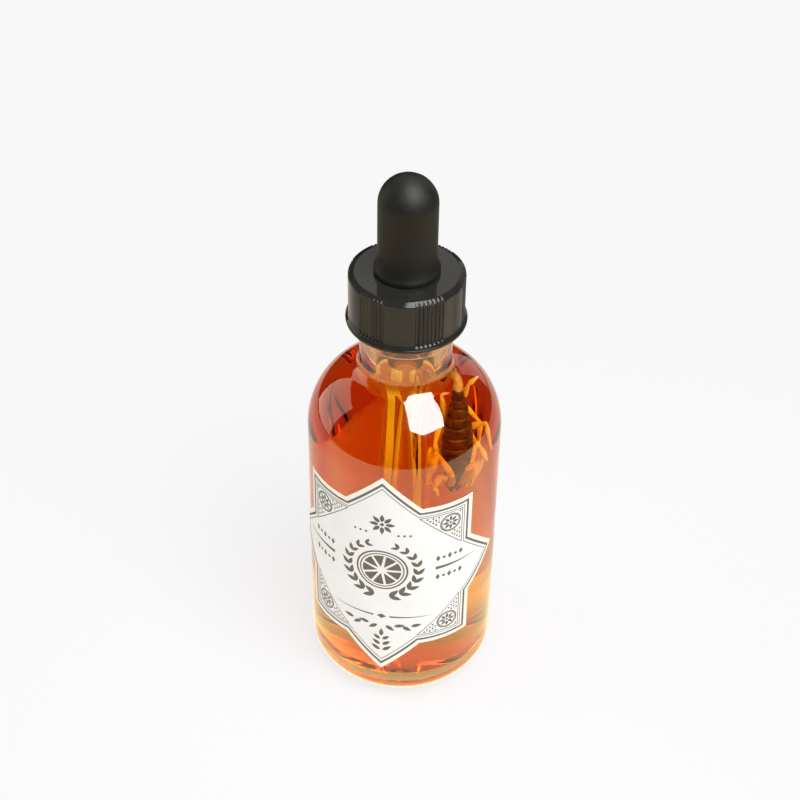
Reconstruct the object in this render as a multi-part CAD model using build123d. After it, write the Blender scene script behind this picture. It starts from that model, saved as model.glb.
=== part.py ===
from build123d import *
import math
import os

# A round-shouldered dropper bottle of bitters with a scorpion preserved in the liquid.
# The origin is the middle of the foot, +Z runs up the bottle's axis, and the front label faces -Y.

# Glass bottle
body_diameter = 39.0
body_wall = 1.8
heel_radius = 6.0
inner_heel_radius = 5.0
punt_rise = 1.5
foot_land = 1.2
floor_thickness = 2.8
floor_edge_height = 2.7
shoulder_start_height = 62.5
shoulder_radius = 15.5
throat_radius = 3.5
inner_shoulder_drop = 0.7
inner_shoulder_radius = 13.0
inner_throat_radius = 5.0
neck_diameter = 18.2
bead_diameter = 20.2
bead_base_height = 85.7
bead_thickness = 2.3
bead_edge_radius = 0.7
rim_height = 96.4
rim_edge_radius = 0.7
mouth_diameter = 11.8

# Thread that the bottle and the cap share
thread_root_diameter = 17.6
thread_pitch = 3.175
thread_depth = 0.95
thread_root_width = 1.7
thread_crest_width = 0.9
thread_embed = 0.15
bottle_thread_drop = 2.4
bottle_thread_turns = 1.25
cap_thread_turns = 1.1
thread_crest_clearance = 0.3

# Screw cap
cap_height = 10.9
cap_plate_thickness = 1.6
cap_diameter = 22.4
cap_bead_diameter = 23.5
cap_bead_thickness = 0.6
cap_flare_height = 1.7
cap_bevel_width = 1.2
cap_bevel_height = 0.55
cap_mouth_bevel = 0.35
cap_flare_hollow_share = 0.25
rib_panel_count = 6
grooves_per_panel = 7
groove_spacing_degrees = 4.3
groove_radius = 0.36
groove_depth = 0.3
first_panel_degrees = -54.5

# Rubber bulb
bulb_diameter = 11.4
bulb_base_diameter = 12.7
bulb_base_lip = 0.9
bulb_base_flare_height = 2.6
bulb_flare_hollow_share = 0.33
bulb_height_above_cap = 20.7
bulb_wall = 1.5
bulb_neck_diameter = 10.4
flange_diameter = 16.8
flange_thickness = 1.5
running_gap = 0.1

# Glass pipette
pipette_diameter = 7.0
pipette_bore_diameter = 5.0
pipette_head_diameter = 8.2
pipette_head_height = 2.4
pipette_grip_length = 7.5
pipette_length = 93.0
pipette_taper_length = 17.0
pipette_tip_diameter = 3.4
pipette_tip_bore_diameter = 1.5
pipette_tip_length = 4.0
pipette_edge_radius = 0.4
pipette_liquid_height = 15.0
pipette_running_gap = 0.05

# Bitters
fill_height = 77.6
meniscus_rise = 0.5
meniscus_overlap_share = 0.25

# Paper labels
label_thickness = 0.15
label_centre_height = 36.8
label_cut_reach = 2.0
front_degrees = -90
back_degrees = 90
star_square_side = 38.5
back_label_width = 32.7
back_label_height = 54.4
back_label_notch = 2.2

# Scorpion, hanging head down in the room between the pipette and the right-hand wall. Its own
# frame has its head at the origin, its body up +Z and its back towards +Y. The length and the
# place across are shares of that room, and the other shares are of the body's length.
scorpion_room_share = 1.373
scorpion_place_share = 0.2676
scorpion_crown_share = 1.1128
scorpion_crown_rise = 10.7
scorpion_y = -0.2
scorpion_turn_degrees = 32.0
scorpion_lean_degrees = 7.0
carapace_length_share = 0.3
carapace_width_shares = (0.06, 0.085, 0.105, 0.12)
abdomen_width_shares = (0.125, 0.125, 0.12, 0.105, 0.09, 0.072, 0.055)
body_flatness_share = 0.72
plate_waist_share = 0.9
tail_shares = (
    (0.0, 0.02, 0.96),
    (0.03, 0.09, 1.04),
    (-0.015, 0.16, 1.09),
    (-0.062, 0.22, 1.1),
    (-0.11, 0.33, 1.08),
    (-0.12, 0.42, 1.0),
)
sting_shares = ((-0.12, 0.42, 1.0), (-0.115, 0.44, 0.91), (-0.1, 0.41, 0.86))
tail_radius_share = 0.052
sting_radius_share = 0.042
pincer_arm_shares = {
    "left": ((-0.035, -0.025, 0.03), (-0.09, -0.2, 0.27), (-0.245, -0.2, 0.5)),
    "right": ((0.035, -0.025, 0.03), (0.05, -0.18, 0.3), (0.17, -0.21, 0.37)),
}
pincer_hand_shares = {
    "left": ((-0.245, -0.2, 0.5), (-0.29, -0.235, 0.34)),
    "right": ((0.17, -0.21, 0.37), (0.1, -0.25, 0.2)),
}
pincer_finger_shares = {
    "left": (
        ((-0.28, -0.225, 0.36), (-0.285, -0.25, 0.27), (-0.245, -0.25, 0.2)),
        ((-0.285, -0.23, 0.36), (-0.31, -0.26, 0.28), (-0.29, -0.27, 0.19)),
    ),
    "right": (
        ((0.1, -0.25, 0.23), (0.1, -0.27, 0.14), (0.06, -0.27, 0.08)),
        ((0.105, -0.245, 0.23), (0.06, -0.25, 0.16), (0.05, -0.27, 0.09)),
    ),
}
pincer_arm_radius_share = 0.03
pincer_hand_radius_share = 0.052
pincer_finger_radius_share = 0.017
leg_shares = {
    "left": (
        (
            (-0.055, -0.015, 0.11),
            (-0.15, -0.06, 0.165),
            (-0.18, -0.09, 0.07),
            (-0.15, -0.11, -0.02),
        ),
        (
            (-0.07, 0.01, 0.17),
            (-0.16, -0.01, 0.28),
            (-0.215, 0.0, 0.38),
            (-0.23, -0.03, 0.25),
            (-0.23, -0.02, 0.13),
        ),
        (
            (-0.075, 0.05, 0.24),
            (-0.14, 0.08, 0.36),
            (-0.15, 0.03, 0.57),
            (-0.2, -0.04, 0.47),
            (-0.175, -0.06, 0.33),
        ),
        (
            (-0.045, 0.07, 0.31),
            (-0.07, 0.17, 0.46),
            (-0.1, 0.07, 0.68),
            (-0.149, 0.05, 0.93),
            (-0.09, 0.05, 0.92),
        ),
    ),
    "right": (
        (
            (0.06, -0.02, 0.125),
            (0.14, -0.03, 0.42),
            (0.18, 0.0, 0.345),
            (0.231, 0.0, 0.223),
        ),
        (
            (0.075, 0.04, 0.195),
            (0.15, 0.045, 0.3),
            (0.105, 0.08, 0.48),
            (0.242, 0.0, 0.577),
            (0.264, 0.0, 0.339),
        ),
        (
            (0.055, 0.06, 0.265),
            (0.08, 0.14, 0.42),
            (0.086, 0.16, 0.64),
            (0.21, 0.13, 0.468),
            (0.187, 0.1, 0.324),
        ),
        (
            (0.012, 0.075, 0.31),
            (0.0, 0.2, 0.45),
            (0.105, 0.235, 0.62),
            (0.165, 0.23, 0.795),
            (0.25, 0.25, 0.86),
        ),
    ),
}
leg_radius_share = 0.021
leg_tip_radius_share = 0.009
limb_swell_share = 1.15

body_radius = body_diameter / 2
inner_body_radius = body_radius - body_wall
neck_radius = neck_diameter / 2
mouth_radius = mouth_diameter / 2
thread_root_radius = thread_root_diameter / 2
thread_crest_radius = thread_root_radius + thread_depth
bead_top_height = bead_base_height + bead_thickness
floor_height = punt_rise + floor_thickness
inner_shoulder_start_height = shoulder_start_height - inner_shoulder_drop
thread_start_height = rim_height - bottle_thread_drop - bottle_thread_turns * thread_pitch

flange_top_height = rim_height + flange_thickness
cap_plate_base_height = flange_top_height + running_gap
cap_top_height = cap_plate_base_height + cap_plate_thickness
cap_base_height = cap_top_height - cap_height
cap_radius = cap_diameter / 2
cap_thread_crest_radius = thread_root_radius + thread_crest_clearance
cap_thread_root_radius = cap_thread_crest_radius + thread_depth
cap_hole_radius = bulb_neck_diameter / 2 + running_gap

bulb_radius = bulb_diameter / 2
bulb_base_height = cap_top_height + running_gap
bulb_top_height = cap_top_height + bulb_height_above_cap
pipette_radius = pipette_diameter / 2
pipette_bore_radius = pipette_bore_diameter / 2
pipette_head_radius = pipette_head_diameter / 2
pipette_top_height = rim_height + pipette_grip_length
pipette_tip_height = pipette_top_height - pipette_length
pipette_taper_height = pipette_tip_height + pipette_tip_length + pipette_taper_length

scorpion_room = inner_body_radius - pipette_radius
scorpion_length = scorpion_room_share * scorpion_room
scorpion_x = pipette_radius + scorpion_place_share * scorpion_room
scorpion_crown_height = shoulder_start_height + scorpion_crown_rise
scorpion_head_height = scorpion_crown_height - scorpion_crown_share * scorpion_length


def lathe(outline):
    """Turns a closed outline of (radius, height) edges about the bottle's axis."""
    return revolve(Plane.XZ * make_face(outline), Axis.Z)


def dome_arc(centre_height, edge_radius, edge_height):
    """A shallow arc from the axis to an edge, level at the axis, as in a punt or a floor."""
    rise = centre_height - edge_height
    radius = (edge_radius**2 + rise**2) / (2 * rise)
    sweep_degrees = math.degrees(math.asin(edge_radius / radius))
    return CenterArc((0, centre_height - radius), radius, 90, -sweep_degrees)


def shoulder_edges(side_radius, start_height, round_radius, neck_side_radius, hollow_radius):
    """A round shoulder that meets a neck through a hollow throat, and the throat's top height."""
    round_centre = side_radius - round_radius
    hollow_centre = neck_side_radius + hollow_radius
    across = hollow_centre - round_centre
    rise = math.sqrt((round_radius + hollow_radius) ** 2 - across**2)
    turn = math.degrees(math.atan2(rise, across))
    top_height = start_height + rise
    shoulder = CenterArc((round_centre, start_height), round_radius, 0, turn)
    throat = CenterArc((hollow_centre, top_height), hollow_radius, 180 + turn, -turn)
    return shoulder, throat, top_height


def inner_edges(top_height):
    """The inside of the glass, from the floor's middle up to a height in the neck."""
    floor_edge_radius = inner_body_radius - inner_heel_radius
    heel_height = floor_edge_height + inner_heel_radius
    floor = dome_arc(floor_height, floor_edge_radius, floor_edge_height)
    heel = CenterArc((floor_edge_radius, heel_height), inner_heel_radius, -90, 90)
    shoulder, throat, neck_height = shoulder_edges(
        inner_body_radius,
        inner_shoulder_start_height,
        inner_shoulder_radius,
        mouth_radius,
        inner_throat_radius,
    )
    wall = Line((inner_body_radius, heel_height), (inner_body_radius, inner_shoulder_start_height))
    mouth = Line((mouth_radius, neck_height), (mouth_radius, top_height))
    return [floor, heel, wall, shoulder, throat, mouth]


def thread_ridge(base_radius, crest_radius, start_height, turns, start_degrees):
    """One helical ridge whose crest stands out of, or into, the wall at base_radius."""
    outward = 1 if crest_radius > base_radius else -1
    sunk_radius = base_radius - outward * thread_embed
    path = Helix(thread_pitch, turns * thread_pitch, sunk_radius)
    section_plane = Plane(path @ 0, x_dir=(outward, 0, 0), z_dir=path % 0)
    reach = abs(crest_radius - base_radius) + thread_embed
    half_root = thread_root_width / 2
    half_crest = thread_crest_width / 2
    section = section_plane * make_face(
        Polyline((0, -half_root), (reach, -half_crest), (reach, half_crest), (0, half_root), close=True)
    )
    ridge = sweep(section, path=path, is_frenet=True)
    return Pos(0, 0, start_height) * Rot(0, 0, start_degrees) * ridge


def make_glass_bottle():
    """The bottle: punted foot, round heel and shoulder, neck with a bead, and a threaded finish."""
    foot_outer_radius = body_radius - heel_radius
    foot_inner_radius = foot_outer_radius - foot_land
    shoulder, throat, neck_height = shoulder_edges(
        body_radius, shoulder_start_height, shoulder_radius, neck_radius, throat_radius
    )
    bead_radius = bead_diameter / 2
    bead_side_base = bead_base_height + bead_edge_radius
    bead_side_top = bead_top_height - bead_edge_radius
    bead_flat_radius = bead_radius - bead_edge_radius
    rim_side_height = rim_height - rim_edge_radius
    rim_outer_radius = thread_root_radius - rim_edge_radius
    rim_inner_radius = mouth_radius + rim_edge_radius
    outside = [
        dome_arc(punt_rise, foot_inner_radius, 0),
        Line((foot_inner_radius, 0), (foot_outer_radius, 0)),
        CenterArc((foot_outer_radius, heel_radius), heel_radius, -90, 90),
        Line((body_radius, heel_radius), (body_radius, shoulder_start_height)),
        shoulder,
        throat,
        Line((neck_radius, neck_height), (neck_radius, bead_base_height)),
        Line((neck_radius, bead_base_height), (bead_flat_radius, bead_base_height)),
        CenterArc((bead_flat_radius, bead_side_base), bead_edge_radius, -90, 90),
        Line((bead_radius, bead_side_base), (bead_radius, bead_side_top)),
        CenterArc((bead_flat_radius, bead_side_top), bead_edge_radius, 0, 90),
        Line((bead_flat_radius, bead_top_height), (thread_root_radius, bead_top_height)),
        Line((thread_root_radius, bead_top_height), (thread_root_radius, rim_side_height)),
        CenterArc((rim_outer_radius, rim_side_height), rim_edge_radius, 0, 90),
        Line((rim_outer_radius, rim_height), (rim_inner_radius, rim_height)),
        CenterArc((rim_inner_radius, rim_side_height), rim_edge_radius, 90, 90),
    ]
    axis_line = Line((0, punt_rise), (0, floor_height))
    glass = lathe(outside + inner_edges(rim_side_height) + [axis_line])
    return glass + thread_ridge(
        thread_root_radius, thread_crest_radius, thread_start_height, bottle_thread_turns, 0
    )


def cap_groove_tool():
    """A round bar that cuts one groove up the cap's side, from the flare through the bevel."""
    bar_height = cap_height - cap_flare_height
    bar_radius_at = cap_radius - groove_depth + groove_radius
    bar_base_height = cap_base_height + cap_flare_height / 2
    return Pos(bar_radius_at, 0, bar_base_height) * Cylinder(
        groove_radius, bar_height + cap_flare_height, align=(Align.CENTER, Align.CENTER, Align.MIN)
    )


def make_screw_cap():
    """The cap: ribbed and smooth panels, a flared foot, a hole for the bulb and an inner thread."""
    foot_radius = cap_bead_diameter / 2
    foot_top = cap_base_height + cap_bead_thickness
    flare_top = cap_base_height + cap_flare_height
    bevel_base = cap_top_height - cap_bevel_height
    flare = foot_radius - cap_radius
    mouth_edge_radius = cap_thread_root_radius + cap_mouth_bevel
    outline = [
        Line((mouth_edge_radius, cap_base_height), (foot_radius, cap_base_height)),
        Line((foot_radius, cap_base_height), (foot_radius, foot_top)),
        ThreePointArc(
            (foot_radius, foot_top),
            (cap_radius + flare * cap_flare_hollow_share, (foot_top + flare_top) / 2),
            (cap_radius, flare_top),
        ),
        Line((cap_radius, flare_top), (cap_radius, bevel_base)),
        Line((cap_radius, bevel_base), (cap_radius - cap_bevel_width, cap_top_height)),
        Line((cap_radius - cap_bevel_width, cap_top_height), (cap_hole_radius, cap_top_height)),
        Line((cap_hole_radius, cap_top_height), (cap_hole_radius, cap_plate_base_height)),
        Line((cap_hole_radius, cap_plate_base_height), (cap_thread_root_radius, cap_plate_base_height)),
        Line(
            (cap_thread_root_radius, cap_plate_base_height),
            (cap_thread_root_radius, cap_base_height + cap_mouth_bevel),
        ),
        Line(
            (cap_thread_root_radius, cap_base_height + cap_mouth_bevel),
            (mouth_edge_radius, cap_base_height),
        ),
    ]
    half_turn_degrees = 180
    cap = lathe(outline) + thread_ridge(
        cap_thread_root_radius,
        cap_thread_crest_radius,
        thread_start_height,
        cap_thread_turns,
        half_turn_degrees,
    )
    tool = cap_groove_tool()
    panel_span = 360 / rib_panel_count
    half_row = (grooves_per_panel - 1) / 2
    turns = [
        first_panel_degrees + panel * panel_span + (groove - half_row) * groove_spacing_degrees
        for panel in range(rib_panel_count)
        for groove in range(grooves_per_panel)
    ]
    return cap - [Rot(0, 0, turn) * tool for turn in turns]


def make_rubber_bulb():
    """The bulb: a sealing flange on the rim, a waist in the cap's hole, a flared foot and a dome."""
    flange_radius = flange_diameter / 2
    waist_radius = bulb_neck_diameter / 2
    foot_radius = bulb_base_diameter / 2
    lip_top = bulb_base_height + bulb_base_lip
    flare_top = lip_top + bulb_base_flare_height
    dome_base = bulb_top_height - bulb_radius
    cavity_radius = bulb_radius - bulb_wall
    head_base = pipette_top_height - pipette_head_height
    flare = foot_radius - bulb_radius
    outline = [
        Line((pipette_radius, rim_height), (flange_radius, rim_height)),
        Line((flange_radius, rim_height), (flange_radius, flange_top_height)),
        Line((flange_radius, flange_top_height), (waist_radius, flange_top_height)),
        Line((waist_radius, flange_top_height), (waist_radius, bulb_base_height)),
        Line((waist_radius, bulb_base_height), (foot_radius, bulb_base_height)),
        Line((foot_radius, bulb_base_height), (foot_radius, lip_top)),
        ThreePointArc(
            (foot_radius, lip_top),
            (bulb_radius + flare * bulb_flare_hollow_share, (lip_top + flare_top) / 2),
            (bulb_radius, flare_top),
        ),
        Line((bulb_radius, flare_top), (bulb_radius, dome_base)),
        CenterArc((0, dome_base), bulb_radius, 0, 90),
        Line((0, bulb_top_height), (0, dome_base + cavity_radius)),
        CenterArc((0, dome_base), cavity_radius, 0, 90),
        Line((cavity_radius, dome_base), (cavity_radius, pipette_top_height)),
        Line((cavity_radius, pipette_top_height), (pipette_head_radius, pipette_top_height)),
        Line((pipette_head_radius, pipette_top_height), (pipette_head_radius, head_base)),
        Line((pipette_head_radius, head_base), (pipette_radius, head_base)),
        Line((pipette_radius, head_base), (pipette_radius, rim_height)),
    ]
    return lathe(outline)


def pipette_bore_edges(top_height):
    """The pipette's bore, from its tip up to a height above the taper."""
    tip_bore_radius = pipette_tip_bore_diameter / 2
    tip_top = pipette_tip_height + pipette_tip_length
    return [
        Line((tip_bore_radius, pipette_tip_height), (tip_bore_radius, tip_top)),
        Line((tip_bore_radius, tip_top), (pipette_bore_radius, pipette_taper_height)),
        Line((pipette_bore_radius, pipette_taper_height), (pipette_bore_radius, top_height)),
    ]


def make_glass_pipette():
    """The pipette: a straight tube with a head that the bulb grips and a tapered tip."""
    tip_radius = pipette_tip_diameter / 2
    tip_top = pipette_tip_height + pipette_tip_length
    head_base = pipette_top_height - pipette_head_height
    tip_side = pipette_tip_height + pipette_edge_radius
    tip_bore_radius = pipette_tip_bore_diameter / 2
    tip_flat_radius = tip_radius - pipette_edge_radius
    outline = [
        Line((tip_bore_radius, pipette_tip_height), (tip_flat_radius, pipette_tip_height)),
        CenterArc((tip_flat_radius, tip_side), pipette_edge_radius, -90, 90),
        Line((tip_radius, tip_side), (tip_radius, tip_top)),
        Line((tip_radius, tip_top), (pipette_radius, pipette_taper_height)),
        Line((pipette_radius, pipette_taper_height), (pipette_radius, head_base)),
        Line((pipette_radius, head_base), (pipette_head_radius, head_base)),
        Line((pipette_head_radius, head_base), (pipette_head_radius, pipette_top_height)),
        Line((pipette_head_radius, pipette_top_height), (pipette_bore_radius, pipette_top_height)),
    ]
    return lathe(outline + pipette_bore_edges(pipette_top_height))


def make_bitters_in_pipette():
    """The short column of bitters that stands in the pipette's tip."""
    surface_height = pipette_tip_height + pipette_liquid_height
    full = lathe(
        pipette_bore_edges(pipette_top_height)
        + [
            Line((pipette_bore_radius, pipette_top_height), (0, pipette_top_height)),
            Line((0, pipette_top_height), (0, pipette_tip_height)),
            Line((0, pipette_tip_height), (pipette_tip_bore_diameter / 2, pipette_tip_height)),
        ]
    )
    above = Pos(0, 0, surface_height) * Cylinder(
        pipette_radius, pipette_length, align=(Align.CENTER, Align.CENTER, Align.MIN)
    )
    return full - above


def pipette_hole():
    """The space that the pipette takes in the bitters, with its running gap."""
    hole_radius = pipette_radius + pipette_running_gap
    tip_radius = pipette_tip_diameter / 2 + pipette_running_gap
    tip_top = pipette_tip_height + pipette_tip_length
    hole_base = pipette_tip_height - pipette_running_gap
    return lathe(
        Polyline(
            (0, hole_base),
            (tip_radius, hole_base),
            (tip_radius, tip_top),
            (hole_radius, pipette_taper_height),
            (hole_radius, rim_height),
            (0, rim_height),
            close=True,
        )
    )


def make_bitters(scorpion):
    """The bitters: what the glass holds up to a curved surface, less the pipette and the scorpion."""
    inside = lathe(
        inner_edges(rim_height)
        + [
            Line((mouth_radius, rim_height), (0, rim_height)),
            Line((0, rim_height), (0, floor_height)),
        ]
    )
    surface_edge_radius = mouth_radius + inner_throat_radius * meniscus_overlap_share
    middle_radius = (pipette_radius + mouth_radius) / 2
    surface_edge_height = fill_height + meniscus_rise
    surface = ThreePointArc(
        (pipette_radius, surface_edge_height),
        (middle_radius, fill_height),
        (surface_edge_radius, surface_edge_height),
    )
    above = lathe(
        [
            Line((0, surface_edge_height), (pipette_radius, surface_edge_height)),
            surface,
            Line((surface_edge_radius, surface_edge_height), (surface_edge_radius, rim_height)),
            Line((surface_edge_radius, rim_height), (0, rim_height)),
            Line((0, rim_height), (0, surface_edge_height)),
        ]
    )
    return inside - above - pipette_hole() - scorpion


def paper_patch(width, height, middle_degrees, middle_height):
    """A rectangle of paper on the bottle's body, centred at an angle and a height."""
    span_degrees = math.degrees(width / body_radius)
    section = Plane.XZ * Pos(body_radius + label_thickness / 2, middle_height)
    strip = revolve(section * Rectangle(label_thickness, height), Axis.Z, span_degrees)
    return Rot(0, 0, middle_degrees - span_degrees / 2) * strip


def slanting_cut(start_arc, start_height, rise, turning_left):
    """A wall that stands square to the body and climbs at 45 degrees as it goes round."""
    start_degrees = front_degrees + math.degrees(start_arc / body_radius)
    pitch = 2 * math.pi * body_radius
    inner, outer = [
        Helix(pitch, rise, body_radius + reach, lefthand=turning_left)
        for reach in (-label_cut_reach, label_cut_reach)
    ]
    wall = Face.make_surface_from_curves(inner, outer)
    return Pos(0, 0, start_height) * Rot(0, 0, start_degrees) * wall


def make_front_label():
    """The front label: paper cut as a star of two crossed squares, wrapped round the body."""
    tip = star_square_side / math.sqrt(2)
    reach = label_cut_reach
    low, middle = label_centre_height - tip, label_centre_height
    cuts = [
        slanting_cut(-tip - reach, middle - reach, tip + 2 * reach, False),
        slanting_cut(-reach, low - reach, tip + 2 * reach, False),
        slanting_cut(tip + reach, middle - reach, tip + 2 * reach, True),
        slanting_cut(reach, low - reach, tip + 2 * reach, True),
    ]
    diamond = paper_patch(2 * tip, 2 * tip, front_degrees, label_centre_height).solid()
    for cut in cuts:
        diamond = diamond.split(cut, keep=Keep.ALL).solids().sort_by(SortBy.VOLUME)[-1]
    square = paper_patch(star_square_side, star_square_side, front_degrees, label_centre_height)
    return square + diamond


def make_back_label():
    """The back label: a tall paper rectangle with a square notch at each corner."""
    tall_width = back_label_width - 2 * back_label_notch
    short_height = back_label_height - 2 * back_label_notch
    tall = paper_patch(tall_width, back_label_height, back_degrees, label_centre_height)
    return tall + paper_patch(back_label_width, short_height, back_degrees, label_centre_height)


def scorpion_point(share):
    """A point of the scorpion's own frame, from its shares of the body's length."""
    return Vector(*share) * scorpion_length


def barrel(start, end, start_radius, middle_radius, end_radius):
    """A round segment between two points, swollen or drawn in at its middle."""
    length = (end - start).length
    side = ThreePointArc((start_radius, 0), (middle_radius, length / 2), (end_radius, length))
    outline = [
        Line((0, 0), (start_radius, 0)),
        side,
        Line((end_radius, length), (0, length)),
        Line((0, length), (0, 0)),
    ]
    upright = lathe(outline)
    return Plane(start, z_dir=end - start) * upright


def limb(shares, first_radius, last_radius):
    """Joined segments that taper from the first radius to the last, with a ball at each joint."""
    points = [scorpion_point(share) for share in shares]
    step = (last_radius - first_radius) / (len(points) - 1)
    radii = [first_radius + step * place for place in range(len(points))]
    pieces = [Pos(*points[place]) * Sphere(radii[place]) for place in range(len(points))]
    for place in range(len(points) - 1):
        swollen = (radii[place] + radii[place + 1]) / 2 * limb_swell_share
        pieces.append(
            barrel(points[place], points[place + 1], radii[place], swollen, radii[place + 1])
        )
    return pieces[0] + pieces[1:]


def body_section(height, width_share):
    """One oval section across the scorpion's body."""
    half_width = width_share * scorpion_length
    return Pos(0, 0, height) * Ellipse(half_width, half_width * body_flatness_share)


def scorpion_carapace():
    """The scorpion's head shield, which widens from the mouth to the first back plate."""
    length = carapace_length_share * scorpion_length
    gaps = len(carapace_width_shares) - 1
    sections = [
        body_section(length * place / gaps, width)
        for place, width in enumerate(carapace_width_shares)
    ]
    return loft(sections)


def scorpion_abdomen():
    """The scorpion's trunk: seven plates, each a little wider at its middle than at its edges."""
    start = carapace_length_share * scorpion_length
    plate_length = (scorpion_length - start) / len(abdomen_width_shares)
    sections = []
    for place, width in enumerate(abdomen_width_shares):
        base = start + place * plate_length
        sections.append(body_section(base, width * plate_waist_share))
        sections.append(body_section(base + plate_length / 2, width))
    sections.append(body_section(scorpion_length, abdomen_width_shares[-1] * plate_waist_share))
    return loft(sections, ruled=True)


def scorpion_tail():
    """The scorpion's tail: five swollen segments that curl over its back."""
    radius = tail_radius_share * scorpion_length
    points = [scorpion_point(share) for share in tail_shares]
    joint_radius = radius * plate_waist_share * plate_waist_share
    pieces = [Pos(*point) * Sphere(joint_radius) for point in points]
    pieces += [
        barrel(points[place], points[place + 1], joint_radius, radius, joint_radius)
        for place in range(len(points) - 1)
    ]
    return pieces[0] + pieces[1:]


def scorpion_sting():
    """The sting: a round bulb that draws out into a curved point."""
    poison_bulb_radius = sting_radius_share * scorpion_length
    root_radius = poison_bulb_radius * plate_waist_share
    neck_point, bend_point, end_point = [scorpion_point(share) for share in sting_shares]
    bulb_middle = (neck_point + bend_point) / 2
    bulb = Pos(*bulb_middle) * Sphere(poison_bulb_radius)
    tip_radius = leg_tip_radius_share * scorpion_length
    bend_radius = poison_bulb_radius / 2
    root_middle = (root_radius + bend_radius) / 2 * limb_swell_share
    thorn_middle = (bend_radius + tip_radius) / 2 * limb_swell_share
    root = barrel(bulb_middle, bend_point, root_radius, root_middle, bend_radius)
    thorn = barrel(bend_point, end_point, bend_radius, thorn_middle, tip_radius)
    return bulb + root + Pos(*bend_point) * Sphere(bend_radius) + thorn


def scorpion_pincer(side):
    """One pincer: a two-part arm, a swollen hand and two fingers."""
    arm_radius = pincer_arm_radius_share * scorpion_length
    hand_radius = pincer_hand_radius_share * scorpion_length
    finger_radius = pincer_finger_radius_share * scorpion_length
    tip_radius = leg_tip_radius_share * scorpion_length
    arm = limb(pincer_arm_shares[side], arm_radius, arm_radius)
    wrist, knuckles = [scorpion_point(share) for share in pincer_hand_shares[side]]
    hand = barrel(wrist, knuckles, arm_radius, hand_radius, arm_radius)
    fingers = [limb(shares, finger_radius, tip_radius) for shares in pincer_finger_shares[side]]
    return arm + [hand, *fingers]


def scorpion_legs(side):
    """The four jointed legs of one side, each a solid of its own."""
    radius = leg_radius_share * scorpion_length
    tip_radius = leg_tip_radius_share * scorpion_length
    return [limb(shares, radius, tip_radius) for shares in leg_shares[side]]


def make_scorpion():
    """The scorpion's pieces by name, in the bottle's frame, with no piece inside another."""
    carapace = scorpion_carapace()
    abdomen = scorpion_abdomen()
    trunk = [carapace, abdomen]
    tail = scorpion_tail() - abdomen
    pieces = {
        "scorpion_carapace": carapace,
        "scorpion_abdomen": abdomen,
        "scorpion_tail": tail,
        "scorpion_sting": scorpion_sting() - tail,
    }
    for side in ("left", "right"):
        pieces[f"scorpion_{side}_pincer"] = scorpion_pincer(side) - trunk
        legs = [leg - trunk for leg in scorpion_legs(side)]
        pieces[f"scorpion_{side}_legs"] = Compound([leg.solid() for leg in legs])
    lean = Rot(0, scorpion_lean_degrees, 0)
    turn = Rot(0, 0, scorpion_turn_degrees)
    place = Pos(scorpion_x, scorpion_y, scorpion_head_height) * lean * turn
    return {name: place * piece for name, piece in pieces.items()}


def export_all(pieces):
    """Writes each piece to its own file in parts/."""
    os.makedirs("parts", exist_ok=True)
    for name, solid in pieces.items():
        export_step(solid, f"parts/{name}.step")


scorpion_pieces = make_scorpion()
export_all(
    {
        "glass_bottle": make_glass_bottle(),
        "screw_cap": make_screw_cap(),
        "rubber_bulb": make_rubber_bulb(),
        "glass_pipette": make_glass_pipette(),
        "bitters": make_bitters(list(scorpion_pieces.values())),
        "bitters_in_pipette": make_bitters_in_pipette(),
        "front_label": make_front_label(),
        "back_label": make_back_label(),
        **scorpion_pieces,
    }
)
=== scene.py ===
import math
import random

import bmesh
import bpy
from mathutils import Matrix, Vector


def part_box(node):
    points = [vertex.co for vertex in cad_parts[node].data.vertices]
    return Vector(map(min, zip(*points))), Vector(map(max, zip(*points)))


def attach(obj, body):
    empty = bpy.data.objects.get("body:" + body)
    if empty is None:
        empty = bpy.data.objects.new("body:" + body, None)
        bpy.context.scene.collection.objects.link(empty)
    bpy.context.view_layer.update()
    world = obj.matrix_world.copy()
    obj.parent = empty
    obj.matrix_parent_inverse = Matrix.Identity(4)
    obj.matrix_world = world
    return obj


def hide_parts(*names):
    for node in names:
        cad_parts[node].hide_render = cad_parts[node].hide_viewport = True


# The looks of a dropper bottle of bitters: clear glass, amber liquid, black closure and paper labels.
# Sizes are in millimetres, and the mesh functions turn them into metres.
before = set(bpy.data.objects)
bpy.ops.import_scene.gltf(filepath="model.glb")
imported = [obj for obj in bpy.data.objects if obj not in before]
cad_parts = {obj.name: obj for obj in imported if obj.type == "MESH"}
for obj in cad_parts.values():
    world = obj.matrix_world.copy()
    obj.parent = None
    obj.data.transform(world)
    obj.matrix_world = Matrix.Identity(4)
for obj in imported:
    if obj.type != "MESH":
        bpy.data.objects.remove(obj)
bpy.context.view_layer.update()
MM = 0.001


def span(node):
    """A construction node's lowest and highest corners, in millimetres."""
    low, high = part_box(node)
    return low / MM, high / MM


# Sizes read from the frame
bottle_high = span("glass_bottle")[1]
body_radius = bottle_high.x
rim_height = bottle_high.z
label_low, label_high = span("front_label")
label_radius = -label_low.y
label_centre_height = (label_low.z + label_high.z) / 2
cap_low, cap_high = span("screw_cap")
bulb_low, bulb_high = span("rubber_bulb")
pipette_low, pipette_high = span("glass_pipette")
surface_edge_height = span("bitters")[1].z
column_top_height = span("bitters_in_pipette")[1].z

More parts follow.
